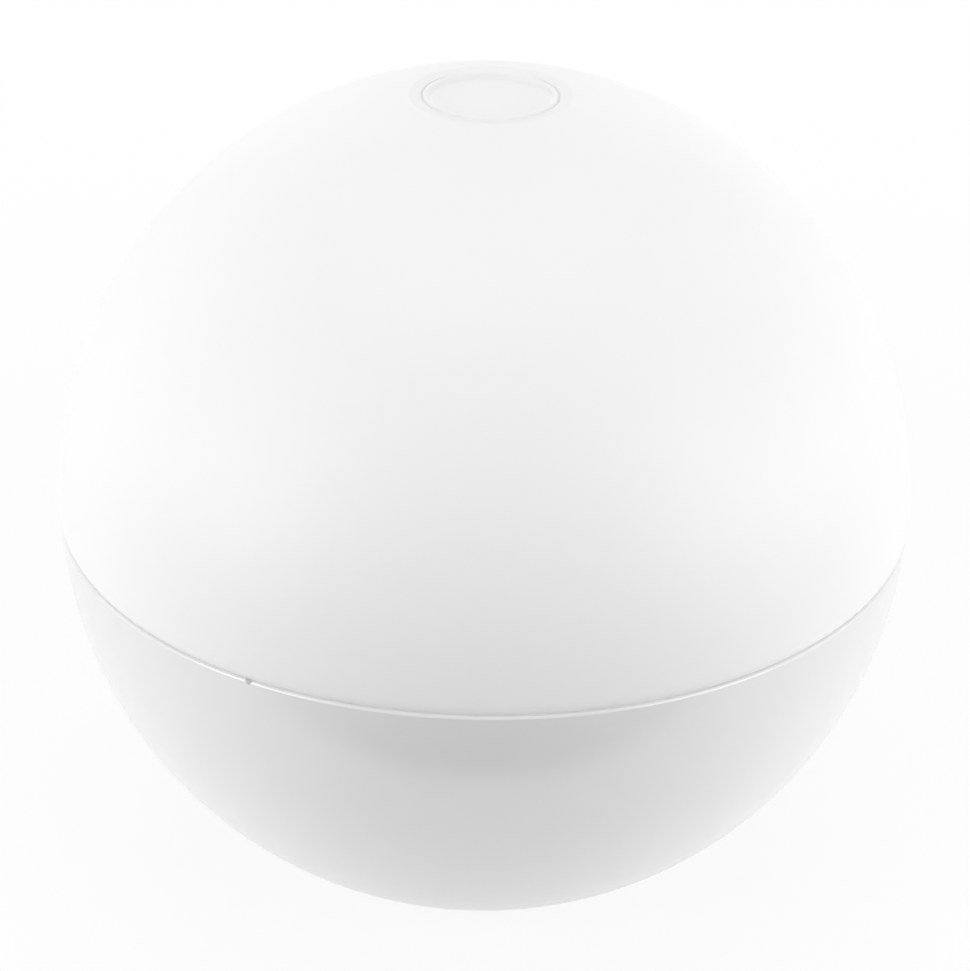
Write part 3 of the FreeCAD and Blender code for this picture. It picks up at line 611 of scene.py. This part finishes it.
def makeSpring():
    # the wire's section, screwed up round the stem, with closed ends
    low = springLow.z + spring["wire"]
    rise = springHigh.z - spring["wire"] - low
    bpy.ops.object.select_all(action="DESELECT")
    bpy.ops.mesh.primitive_circle_add(vertices=spring["wireSides"], radius=spring["wire"],
                                      location=(spring["coilRadius"], 0, low), rotation=(math.pi / 2, 0, 0))
    piece = bpy.context.object
    piece.name = "returnSpring"
    settle(piece)
    modifier = piece.modifiers.new("coil", "SCREW")
    modifier.angle = fullTurn * spring["turns"]
    modifier.screw_offset = rise
    modifier.steps = round(spring["stepsPerTurn"] * spring["turns"])
    modifier.render_steps = modifier.steps
    modifier.use_normal_calculate = True
    bpy.ops.object.modifier_apply(modifier=modifier.name)
    bpy.ops.object.mode_set(mode="EDIT")
    bpy.ops.mesh.select_all(action="SELECT")
    bpy.ops.mesh.fill_holes(sides=0)
    bpy.ops.mesh.normals_make_consistent(inside=False)
    bpy.ops.object.mode_set(mode="OBJECT")
    smoothPiece(piece)
    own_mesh(piece)
    return finishPiece(piece, "globe", "button_spring")


# The door over the charging port, and the ring that the globe stands on

def makeDoor():
    p = port
    inner = base["radius"] - p["doorThickness"]
    barrel = heightOn(base["radius"], p["barrelDrop"]) - p["barrelRadius"]
    piece = roundedBlock("portDoor", (-p["doorHalf"], -p["doorTop"], inner),
                         (p["doorHalf"], p["barrelDrop"], base["radius"] + mm), p["doorCorner"],
                         isTopCorner)
    piece = combine(piece, addRod("barrel", p["barrelRadius"], (-p["doorHalf"], p["barrelDrop"], barrel),
                                  (p["doorHalf"], p["barrelDrop"], barrel)), "UNION")
    piece = combine(piece, addRod("bore", p["boreRadius"], (-p["doorHalf"] - mm, p["barrelDrop"], barrel),
                                  (p["doorHalf"] + mm, p["barrelDrop"], barrel), p["pinSides"]),
                    "DIFFERENCE")
    tiltToPort(piece)
    ballOutline = arcPoints((0, 0), base["radius"], -90, 90, p["ballSteps"])
    piece = combine(piece, spinOutline("doorBall", ballOutline, globe["spinSteps"]), "INTERSECT")
    smoothPiece(piece, base["radius"])
    return finishPiece(piece, "port_cover", "port_door")


foot = {
    "gap": 0.1 * mm,
    "round": 0.4 * mm,
    "roundSteps": 5,
    "spinSteps": 160,
}


def makeFoot():
    low = footLow.z - globe["centre"].z
    high = footHigh.z - globe["centre"].z
    outer = base["footOuter"] - foot["gap"]
    inner = base["footInner"] + foot["gap"]
    size = foot["round"]
    outline = [(inner, high)]
    outline += arcPoints((inner + size, low + size), size, 180, 270, foot["roundSteps"])
    outline += arcPoints((outer - size, low + size), size, -90, 0, foot["roundSteps"])
    outline += [(outer, high), (inner, high)]
    piece = spinOutline("footPad", outline, foot["spinSteps"])
    smoothPiece(piece)
    return finishPiece(piece, "globe", "foot_ring")


diffuserShell = makeDiffuser()
baseShell = makeBase()
buttonTop = makeButton()
returnSpring = makeSpring()
portDoor = makeDoor()
footPad = makeFoot()


# Shader node groups, each built once and placed in the materials with its own values

def fillSockets(tree, node, values):
    # links a socket that is given as a value, and sets any other value
    for label, value in values.items():
        if isinstance(value, bpy.types.NodeSocket):
            tree.links.new(value, node.inputs[label])
        else:
            node.inputs[label].default_value = value


def addNode(tree, kind, values=None, **settings):
    node = tree.nodes.new("ShaderNode" + kind)
    for setting, value in settings.items():
        setattr(node, setting, value)
    fillSockets(tree, node, values or {})
    return node


def mixColors(tree, share, first, second, **settings):
    # among the Mix node's sockets, 6 and 7 take the colors and 2 gives the mixed one
    mixed = addNode(tree, "Mix", {0: share, 6: first, 7: second}, data_type="RGBA", **settings)
    return mixed.outputs[2]


class NodeGroup:
    # builds a node group from short calls: its sockets, its nodes and what it gives
    def __init__(self, name, inputs, outputs):
        self.tree = bpy.data.node_groups.new(name, "ShaderNodeTree")
        for label, kind, value in inputs:
            socket = self.tree.interface.new_socket(label, in_out="INPUT", socket_type="NodeSocket" + kind)
            if value is not None:
                socket.default_value = value
        for label, kind in outputs:
            self.tree.interface.new_socket(label, in_out="OUTPUT", socket_type="NodeSocket" + kind)
        self.start = self.tree.nodes.new("NodeGroupInput")
        self.end = self.tree.nodes.new("NodeGroupOutput")

    def add(self, kind, values, **settings):
        return addNode(self.tree, kind, values, **settings)

    def give(self, results):
        fillSockets(self.tree, self.end, results)
        return self.tree


skinOutputs = [("Color", "Color"), ("Roughness", "Float"), ("Height", "Float")]


def mouldedSkinGroup():
    # moulded plastic or rubber: slow drift of tone, faint mottle of gloss and a fine skin texture
    inputs = [("Vector", "Vector", None), ("Color", "Color", (0.8, 0.8, 0.8, 1)), ("Shade", "Float", 0.95),
              ("Roughness", "Float", 0.4), ("Gloss Drift", "Float", 0.05), ("Drift Scale", "Float", 18.0),
              ("Grain Scale", "Float", 2500.0)]
    group = NodeGroup("mouldedSkin", inputs, skinOutputs)
    start = group.start.outputs
    drift = group.add("TexNoise", {"Vector": start["Vector"], "Scale": start["Drift Scale"], "Detail": 3.0,
                                   "Roughness": 0.55})
    darker = mixColors(group.tree, 1.0, start["Color"], start["Shade"], blend_type="MULTIPLY")
    tone = group.add("MapRange", {"Value": drift.outputs["Fac"], "From Min": 0.3, "From Max": 0.7})
    color = mixColors(group.tree, tone.outputs["Result"], darker, start["Color"])
    gloss = group.add("TexNoise", {"Vector": start["Vector"], "Scale": 130.0, "Detail": 4.0})
    noiseMiddle = 0.5
    centred = group.add("Math", {0: gloss.outputs["Fac"], 1: noiseMiddle}, operation="SUBTRACT")
    swing = group.add("Math", {0: centred.outputs[0], 1: start["Gloss Drift"], 2: start["Roughness"]},
                      operation="MULTIPLY_ADD")
    grain = group.add("TexNoise", {"Vector": start["Vector"], "Scale": start["Grain Scale"], "Detail": 2.0})
    return group.give({"Color": color, "Roughness": swing.outputs[0], "Height": grain.outputs["Fac"]})


def drawnMetalGroup():
    # fine drawn or rolled streaks on metal, with clouded tarnish
    inputs = [("Vector", "Vector", None), ("Color", "Color", (0.7, 0.7, 0.7, 1)),
              ("Tarnish", "Color", (0.4, 0.38, 0.35, 1)), ("Roughness", "Float", 0.3),
              ("Streak Scale", "Float", 900.0)]
    group = NodeGroup("drawnMetal", inputs, skinOutputs)
    start = group.start.outputs
    stretch = group.add("Mapping", {"Vector": start["Vector"], "Scale": (1.0, 1.0, 0.06)})
    streak = group.add("TexNoise", {"Vector": stretch.outputs[0], "Scale": start["Streak Scale"],
                                    "Detail": 3.0})
    cloud = group.add("TexNoise", {"Vector": start["Vector"], "Scale": 160.0, "Detail": 5.0})
    patch = group.add("MapRange", {"Value": cloud.outputs["Fac"], "From Min": 0.55, "From Max": 0.75,
                                   "To Max": 0.5})
    color = mixColors(group.tree, patch.outputs["Result"], start["Color"], start["Tarnish"])
    swing = 0.22
    gloss = group.add("Math", {0: streak.outputs["Fac"], 1: swing, 2: start["Roughness"]},
                      operation="MULTIPLY_ADD")
    lowered = group.add("Math", {0: gloss.outputs[0], 1: swing / 2}, operation="SUBTRACT")
    return group.give({"Color": color, "Roughness": lowered.outputs[0], "Height": streak.outputs["Fac"]})


def boardTracksGroup():
    # copper tracks that show raised and paler under solder mask, with round tinned pads
    inputs = [("Vector", "Vector", None), ("Mask", "Color", (0.03, 0.2, 0.08, 1)),
              ("Track", "Color", (0.06, 0.32, 0.13, 1)), ("Pad", "Color", (0.62, 0.6, 0.55, 1)),
              ("Track Scale", "Float", 260.0)]
    group = NodeGroup("boardTracks", inputs, skinOutputs + [("Metallic", "Float")])
    start = group.start.outputs
    cells = group.add("TexVoronoi", {"Vector": start["Vector"], "Scale": start["Track Scale"],
                                     "Randomness": 0.75}, distance="CHEBYCHEV", feature="F2")
    near = group.add("TexVoronoi", {"Vector": start["Vector"], "Scale": start["Track Scale"],
                                    "Randomness": 0.75}, distance="CHEBYCHEV", feature="F1")
    gap = group.add("Math", {0: cells.outputs["Distance"], 1: near.outputs["Distance"]},
                    operation="SUBTRACT")
    line = group.add("MapRange", {"Value": gap.outputs[0], "From Min": 0.1, "From Max": 0.14, "To Min": 1.0,
                                  "To Max": 0.0})
    spots = group.add("TexVoronoi", {"Vector": start["Vector"], "Scale": 330.0, "Randomness": 0.35})
    pad = group.add("MapRange", {"Value": spots.outputs["Distance"], "From Min": 0.17, "From Max": 0.2,
                                 "To Min": 1.0, "To Max": 0.0})
    masked = mixColors(group.tree, line.outputs["Result"], start["Mask"], start["Track"])
    color = mixColors(group.tree, pad.outputs["Result"], masked, start["Pad"])
    rough = group.add("MapRange", {"Value": pad.outputs["Result"], "To Min": 0.28, "To Max": 0.4})
    raised = group.add("Math", {0: line.outputs["Result"], 1: pad.outputs["Result"]}, operation="MAXIMUM")
    return group.give({"Color": color, "Roughness": rough.outputs["Result"],
                       "Metallic": pad.outputs["Result"], "Height": raised.outputs[0]})


def shrunkSleeveGroup():
    # a heat-shrunk sleeve: fine creases, paler patches and slight gloss changes
    inputs = [("Vector", "Vector", None), ("Color", "Color", (0.05, 0.2, 0.5, 1)),
              ("Stripe", "Color", (0.5, 0.52, 0.55, 1)), ("Roughness", "Float", 0.3)]
    group = NodeGroup("shrunkSleeve", inputs, skinOutputs)
    start = group.start.outputs
    crease = group.add("TexNoise", {"Vector": start["Vector"], "Scale": 420.0, "Detail": 2.0,
                                    "Distortion": 1.2})
    fade = group.add("TexNoise", {"Vector": start["Vector"], "Scale": 60.0, "Detail": 2.0})
    tone = group.add("MapRange", {"Value": fade.outputs["Fac"], "From Min": 0.35, "From Max": 0.8,
                                  "To Max": 0.18})
    color = mixColors(group.tree, tone.outputs["Result"], start["Color"], start["Stripe"])
    swing = 0.12
    rough = group.add("Math", {0: crease.outputs["Fac"], 1: swing, 2: start["Roughness"]},
                      operation="MULTIPLY_ADD")
    return group.give({"Color": color, "Roughness": rough.outputs[0], "Height": crease.outputs["Fac"]})


def paintedGapLightGroup():
    # painted light: an emission glow that lightens the shade in narrow gaps, round the button and below the
    # seam, standing in for light that reaches them through the opal plastic
    inputs = [("Vector", "Vector", None), ("Glow", "Color", (0.5, 0.5, 0.5, 1)), ("Inner", "Float", 0.0),
              ("Outer", "Float", 0.0), ("Top", "Float", 0.0), ("Low", "Float", 0.0),
              ("Fade", "Float", 0.0), ("Seam", "Float", 0.0)]
    group = NodeGroup("paintedGapLight", inputs, [("Color", "Color")])
    start = group.start.outputs
    spot = group.add("SeparateXYZ", {"Vector": start["Vector"]}).outputs
    flat = group.add("CombineXYZ", {"X": spot["X"], "Y": spot["Y"]})
    away = group.add("VectorMath", {0: flat.outputs[0]}, operation="LENGTH").outputs["Value"]
    outside = group.add("Math", {0: away, 1: start["Inner"]}, operation="GREATER_THAN")
    inside = group.add("Math", {0: away, 1: start["Outer"]}, operation="LESS_THAN")
    ring = group.add("Math", {0: outside.outputs[0], 1: inside.outputs[0]}, operation="MULTIPLY")
    faded = group.add("Math", {0: start["Top"], 1: start["Fade"]}, operation="SUBTRACT")
    depth = group.add("MapRange", {"Value": spot["Z"], "From Min": start["Top"],
                                   "From Max": faded.outputs[0]})
    above = group.add("Math", {0: spot["Z"], 1: start["Low"]}, operation="GREATER_THAN")
    band = group.add("Math", {0: ring.outputs[0], 1: above.outputs[0]}, operation="MULTIPLY")
    wall = group.add("Math", {0: band.outputs[0], 1: depth.outputs["Result"]}, operation="MULTIPLY")
    below = group.add("Math", {0: spot["Z"], 1: start["Seam"]}, operation="LESS_THAN")
    mask = group.add("Math", {0: wall.outputs[0], 1: below.outputs[0]}, operation="MAXIMUM")
    return group.give({"Color": mixColors(group.tree, mask.outputs[0], black, start["Glow"])})


mouldedSkin = mouldedSkinGroup()
drawnMetal = drawnMetalGroup()
boardTracks = boardTracksGroup()
shrunkSleeve = shrunkSleeveGroup()
paintedGapLight = paintedGapLightGroup()
print("made the node groups")


def newMaterial(name):
    material = bpy.data.materials.new(name)
    material.use_nodes = True
    return material, material.node_tree, material.node_tree.nodes["Principled BSDF"]


def newFinish(name, group, groupValues, shaderValues, bumpDistance, bumpStrength):
    # one Principled material, fed by one node group on Object coordinates
    material, tree, shader = newMaterial(name)
    place = addNode(tree, "TexCoord").outputs["Object"]
    pattern = addNode(tree, "Group", {"Vector": place, **groupValues}, node_tree=group).outputs
    bump = addNode(tree, "Bump", {"Height": pattern["Height"], "Distance": bumpDistance,
                                  "Strength": bumpStrength})
    fillSockets(tree, shader, {"Base Color": pattern["Color"], "Roughness": pattern["Roughness"],
                               "Normal": bump.outputs["Normal"], **shaderValues})
    if "Metallic" in pattern:
        tree.links.new(pattern["Metallic"], shader.inputs["Metallic"])
    return material


def addPaintedGapLight(material, values):
    # adds painted light, an emission glow that lightens the shade in narrow gaps, to a finish
    tree = material.node_tree
    place = addNode(tree, "TexCoord").outputs["Object"]
    paintedGapGlow = addNode(tree, "Group", {"Vector": place, **values}, node_tree=paintedGapLight)
    fillSockets(tree, tree.nodes["Principled BSDF"],
                {"Emission Color": paintedGapGlow.outputs["Color"], "Emission Strength": 1.0})
    return material


def skinValues(f):
    return {"Color": f["color"], "Shade": f["shade"], "Roughness": f["roughness"],
            "Gloss Drift": f["glossDrift"], "Grain Scale": f["grain"]}


diffuserFinish = {
    "color": (0.88, 0.88, 0.875, 1),
    "shade": 0.985,
    "roughness": 0.46,
    "glossDrift": 0.05,
    "specular": 0.38,
    "grain": 2600.0,
    "glow": (0.13, 0.13, 0.129, 1),    # painted light, lightening the shade in the gap round the button, and on the hidden spigot
    "glowInner": 15.0 * mm,
    "glowOuter": 15.79 * mm,
    "glowFade": 0.3 * mm,
    "glowDrop": 0.3 * mm,
}


def opalFinish(name):
    f = diffuserFinish
    material = newFinish(name, mouldedSkin, skinValues(f), {"Specular IOR Level": f["specular"]},
                         bumpDistance=0.02 * mm, bumpStrength=0.15)
    land = heightOn(globe["radius"], globe["landRadius"]) - globe["landSink"]
    return addPaintedGapLight(material, {"Glow": f["glow"], "Inner": f["glowInner"], "Outer": f["glowOuter"],
                                 "Top": globe["centre"].z + land, "Fade": f["glowFade"],
                                 "Seam": baseHigh.z - f["glowDrop"]})


shellFinish = {
    "color": (0.8, 0.8, 0.798, 1),
    "shade": 0.985,
    "roughness": 0.22,
    "glossDrift": 0.04,
    "grain": 1400.0,
    "ior": 1.8,
    "glow": (0.11, 0.11, 0.11, 1),     # painted light, lightening the shade inside the release notch
    "glowInner": 96.0 * mm,
    "glowOuter": 99.4 * mm,
    "glowFade": 0.4 * mm,
    "glowDrop": 2.5 * mm,
}


def glossyFinish(name):
    f = shellFinish
    material = newFinish(name, mouldedSkin, skinValues(f), {"IOR": f["ior"]},
                         bumpDistance=0.01 * mm, bumpStrength=0.1)
    return addPaintedGapLight(material, {"Glow": f["glow"], "Inner": f["glowInner"], "Outer": f["glowOuter"],
                                 "Top": baseHigh.z, "Low": baseHigh.z - f["glowDrop"],
                                 "Fade": f["glowFade"]})


mouldedColors = {
    "inner_plastic": ((0.85, 0.85, 0.84, 1), 0.5),
    "dark_plastic": ((0.035, 0.035, 0.037, 1), 0.5),
    "pale_plastic": ((0.72, 0.68, 0.58, 1), 0.45),
}

rubberColors = {
    "seal_rubber": (0.7, 0.7, 0.69, 1),
    "foot_rubber": (0.55, 0.55, 0.54, 1),
    "plug_rubber": (0.72, 0.72, 0.7, 1),
    "lead_red": (0.42, 0.02, 0.02, 1),
    "lead_black": (0.02, 0.02, 0.02, 1),
    "lead_white": (0.74, 0.74, 0.72, 1),
}

metalColors = {
    "spring_steel": ((0.6, 0.6, 0.61, 1), 0.28),
    "screw_steel": ((0.66, 0.66, 0.68, 1), 0.34),
    "nickel": ((0.68, 0.66, 0.6, 1), 0.3),
    "socket_metal": ((0.72, 0.72, 0.73, 1), 0.22),
}

boardColors = {
    "green_board": ((0.02, 0.16, 0.06, 1), (0.04, 0.26, 0.1, 1)),
    "white_board": ((0.82, 0.82, 0.8, 1), (0.88, 0.88, 0.86, 1)),
}

phosphorColor = (0.9, 0.68, 0.14, 1)

sleeveColors = {
    "capacitor_sleeve": ((0.03, 0.05, 0.13, 1), (0.5, 0.52, 0.55, 1)),
    "cell_wrap": ((0.03, 0.16, 0.42, 1), (0.2, 0.35, 0.6, 1)),
}


def mouldedFinish(name):
    color, roughness = mouldedColors[name]
    return newFinish(name, mouldedSkin, {"Color": color, "Shade": 0.93, "Roughness": roughness,
                                         "Gloss Drift": 0.12, "Grain Scale": 1900.0},
                     {}, bumpDistance=0.05 * mm, bumpStrength=0.3)


def rubberFinish(name):
    return newFinish(name, mouldedSkin, {"Color": rubberColors[name], "Shade": 0.86, "Roughness": 0.72,
                                         "Gloss Drift": 0.18, "Grain Scale": 1500.0}, {"IOR": 1.42},
                     bumpDistance=0.06 * mm, bumpStrength=0.35)


def metalFinish(name):
    color, roughness = metalColors[name]
    return newFinish(name, drawnMetal, {"Color": color, "Roughness": roughness}, {"Metallic": 1.0},
                     bumpDistance=0.02 * mm, bumpStrength=0.2)


def boardFinish(name):
    mask, track = boardColors[name]
    return newFinish(name, boardTracks, {"Mask": mask, "Track": track}, {},
                     bumpDistance=0.05 * mm, bumpStrength=0.6)


def sleeveFinish(name):
    color, stripe = sleeveColors[name]
    return newFinish(name, shrunkSleeve, {"Color": color, "Stripe": stripe}, {},
                     bumpDistance=0.06 * mm, bumpStrength=0.3)


def phosphorFinish(name):
    return newFinish(name, mouldedSkin, {"Color": phosphorColor, "Shade": 0.8, "Roughness": 0.25,
                                         "Gloss Drift": 0.1, "Drift Scale": 700.0}, {"Coat Weight": 0.6},
                     bumpDistance=0.03 * mm, bumpStrength=0.25)


finishes = {"diffuser": opalFinish("diffuser"), "button": opalFinish("button"),
            "shell": glossyFinish("shell"), "led_phosphor": phosphorFinish("led_phosphor")}
for colors, maker in ((mouldedColors, mouldedFinish), (rubberColors, rubberFinish),
                      (metalColors, metalFinish), (boardColors, boardFinish),
                      (sleeveColors, sleeveFinish)):
    for name in colors:
        finishes[name] = maker(name)

for part in frame["record"]["subparts"]:
    node = frame["nodes"][part["node"]]
    for index in range(max(1, len(node.material_slots))):
        if node.material_slots:
            node.material_slots[index].material = finishes[part["material_slot"]]
        else:
            node.data.materials.append(finishes[part["material_slot"]])

for piece, name in ((diffuserShell, "diffuser"), (baseShell, "shell"), (buttonTop, "button"),
                    (returnSpring, "spring_steel"), (portDoor, "shell"), (footPad, "foot_rubber")):
    piece.data.materials.clear()
    piece.data.materials.append(finishes[name])
print("gave every piece its finish")


# The floor and the studio

studio = {
    "floorSize": 12.0,
    "floorColor": (0.9, 0.9, 0.9, 1),
    "floorRoughness": 0.9,
    "shadowShare": 0.12,         # of the floor's own light that the camera still sees near the globe
    "shadowNear": 0.18,          # distance where that share starts to fade
    "shadowFar": 0.6,            # distance where the floor is as white as the backdrop
    "worldStrength": 0.28,
}

lamps = {
    # name: place, width, height, watts
    "leftBox": ((-1.2, -0.8, 0.5), 0.9, 0.9, 9.0),
    "rightBox": ((1.2, -0.8, 0.5), 0.9, 0.9, 7.9),
    "leftLow": ((-1.4, -0.2, 0.18), 1.4, 0.35, 3.2),
    "rightLow": ((1.4, -0.2, 0.18), 1.4, 0.35, 4.3),
    "topBox": ((0.0, 0.1, 1.5), 1.4, 1.4, 9.5),
    "backBox": ((0.0, 1.5, 0.6), 1.6, 1.2, 3.0),
    "backHigh": ((0.0, 1.2, 1.1), 1.4, 0.8, 2.4),
}


def seenDirectly(tree):
    # 1 for rays that come straight from the camera, a mirror-like bounce or glass
    path = addNode(tree, "LightPath")
    first = addNode(tree, "Math", {0: path.outputs["Is Camera Ray"], 1: path.outputs["Is Glossy Ray"]},
                    operation="MAXIMUM")
    return addNode(tree, "Math", {0: first.outputs[0], 1: path.outputs["Is Transmission Ray"]},
                   operation="MAXIMUM").outputs[0]


def clearFromBelow(tree, shader):
    # rays from underneath pass, so the globe's underside can be looked at and the floor stays evenly lit
    below = addNode(tree, "NewGeometry").outputs["Backfacing"]
    clear = addNode(tree, "BsdfTransparent")
    whole = addNode(tree, "MixShader", {0: below, 1: shader.outputs[0], 2: clear.outputs[0]})
    tree.links.new(whole.outputs[0], tree.nodes["Material Output"].inputs["Surface"])


def makeFloor():
    bpy.ops.object.select_all(action="DESELECT")
    bpy.ops.mesh.primitive_plane_add(size=studio["floorSize"])
    floor = bpy.context.object
    floor.name = "studioFloor"
    material, tree, shader = newMaterial("paperFloor")
    fillSockets(tree, shader, {"Base Color": studio["floorColor"], "Roughness": studio["floorRoughness"]})
    glow = addNode(tree, "Emission", {"Color": white, "Strength": 1.0})
    spot = addNode(tree, "TexCoord").outputs["Object"]
    away = addNode(tree, "VectorMath", {0: spot}, operation="LENGTH").outputs["Value"]
    fade = addNode(tree, "MapRange", {"Value": away, "From Min": studio["shadowNear"],
                                      "From Max": studio["shadowFar"],
                                      "To Min": 1 - studio["shadowShare"], "To Max": 1.0},
                   interpolation_type="SMOOTHSTEP")
    share = addNode(tree, "Math", {0: seenDirectly(tree), 1: fade.outputs["Result"]},
                    operation="MULTIPLY")
    mixed = addNode(tree, "MixShader", {0: share.outputs[0], 1: shader.outputs[0], 2: glow.outputs[0]})
    clearFromBelow(tree, mixed)
    floor.data.materials.append(material)


card = {
    # a dark card on the floor, in front of the picture, which keeps light off the globe's front: painted
    # shade, seen only in the globe's reflections and bounce light
    "near": 0.15,
    "depth": 1.05,
    "width": 1.4,
    "lift": 0.001,
    "color": (0.02, 0.02, 0.02, 1),
    "sideColor": (0.88, 0.88, 0.88, 1),
    "sideNear": 0.03,            # of its width, where it starts to lighten towards its sides, so the painted shade on the globe's front is deepest in the middle
    "sideFar": 0.17,
}


def makeShadeCard():
    # the camera and the lamps look straight through it, so the floor is whole from every side and the sheet
    # only puts painted shade on the globe
    bpy.ops.object.select_all(action="DESELECT")
    place = (0, -card["near"] - card["depth"] / 2, card["lift"])
    bpy.ops.mesh.primitive_plane_add(size=1, location=place)
    sheet = bpy.context.object
    sheet.name = "paintedShadeSheet"
    sheet.scale = (card["width"], card["depth"], 1)
    material, tree, shader = newMaterial("paintedShadeCard")
    spot = addNode(tree, "TexCoord").outputs["Object"]
    across = addNode(tree, "SeparateXYZ", {"Vector": spot}).outputs["X"]
    away = addNode(tree, "Math", {0: across}, operation="ABSOLUTE")
    side = addNode(tree, "MapRange", {"Value": away.outputs[0], "From Min": card["sideNear"],
                                      "From Max": card["sideFar"]})
    # painted shade: dark in the middle, lighter towards the sides
    color = mixColors(tree, side.outputs["Result"], card["color"], card["sideColor"])
    fillSockets(tree, shader, {"Base Color": color, "Roughness": 1.0, "Specular IOR Level": 0.0})
    clearFromBelow(tree, shader)
    sheet.data.materials.append(material)
    sheet.visible_camera = False
    sheet.visible_shadow = False
    sheet.visible_transmission = False


def makeWorld():
    world = bpy.data.worlds.new("studioTent")
    bpy.context.scene.world = world
    world.use_nodes = True
    tree = world.node_tree
    background = tree.nodes["Background"]
    strength = addNode(tree, "MapRange", {"Value": seenDirectly(tree), "To Min": studio["worldStrength"],
                                          "To Max": 1.0})
    fillSockets(tree, background, {"Strength": strength.outputs["Result"], "Color": white})


def makeLamps():
    for name, (place, width, height, watts) in lamps.items():
        bpy.ops.object.light_add(type="AREA", location=place)
        lamp = bpy.context.object
        lamp.name = name
        lamp.rotation_euler = (globe["centre"] - lamp.location).to_track_quat("-Z", "Y").to_euler()
        lamp.data.shape = "RECTANGLE"
        lamp.data.size = width
        lamp.data.size_y = height
        lamp.data.energy = watts


makeFloor()
makeShadeCard()
makeWorld()
makeLamps()
print("made the floor, the world and", len(lamps), "lamps")


# The camera, at the photograph's height and turn

view = {
    "elevation": math.radians(27.72),
    "roll": math.radians(0.91),
    "distance": 7.2 * globe["radius"],
    "lens": 112.56,
    "shift": (0.0006, 0.0008),
}


def makeCamera():
    sine = math.sin(view["elevation"])
    cosine = math.cos(view["elevation"])
    right = Vector((1, 0, 0))
    upward = Vector((0, sine, cosine))
    back = Vector((0, -cosine, sine))
    rolledRight = right * math.cos(view["roll"]) + upward * math.sin(view["roll"])
    rolledUp = upward * math.cos(view["roll"]) - right * math.sin(view["roll"])
    bpy.ops.object.camera_add(location=globe["centre"] + back * view["distance"])
    camera = bpy.context.object
    camera.name = "photoCamera"
    camera.rotation_euler = Matrix((rolledRight, rolledUp, back)).transposed().to_euler()
    camera.data.lens = view["lens"]
    camera.data.shift_x, camera.data.shift_y = view["shift"]
    bpy.context.scene.camera = camera


makeCamera()
bpy.context.scene.view_settings.view_transform = "Standard"
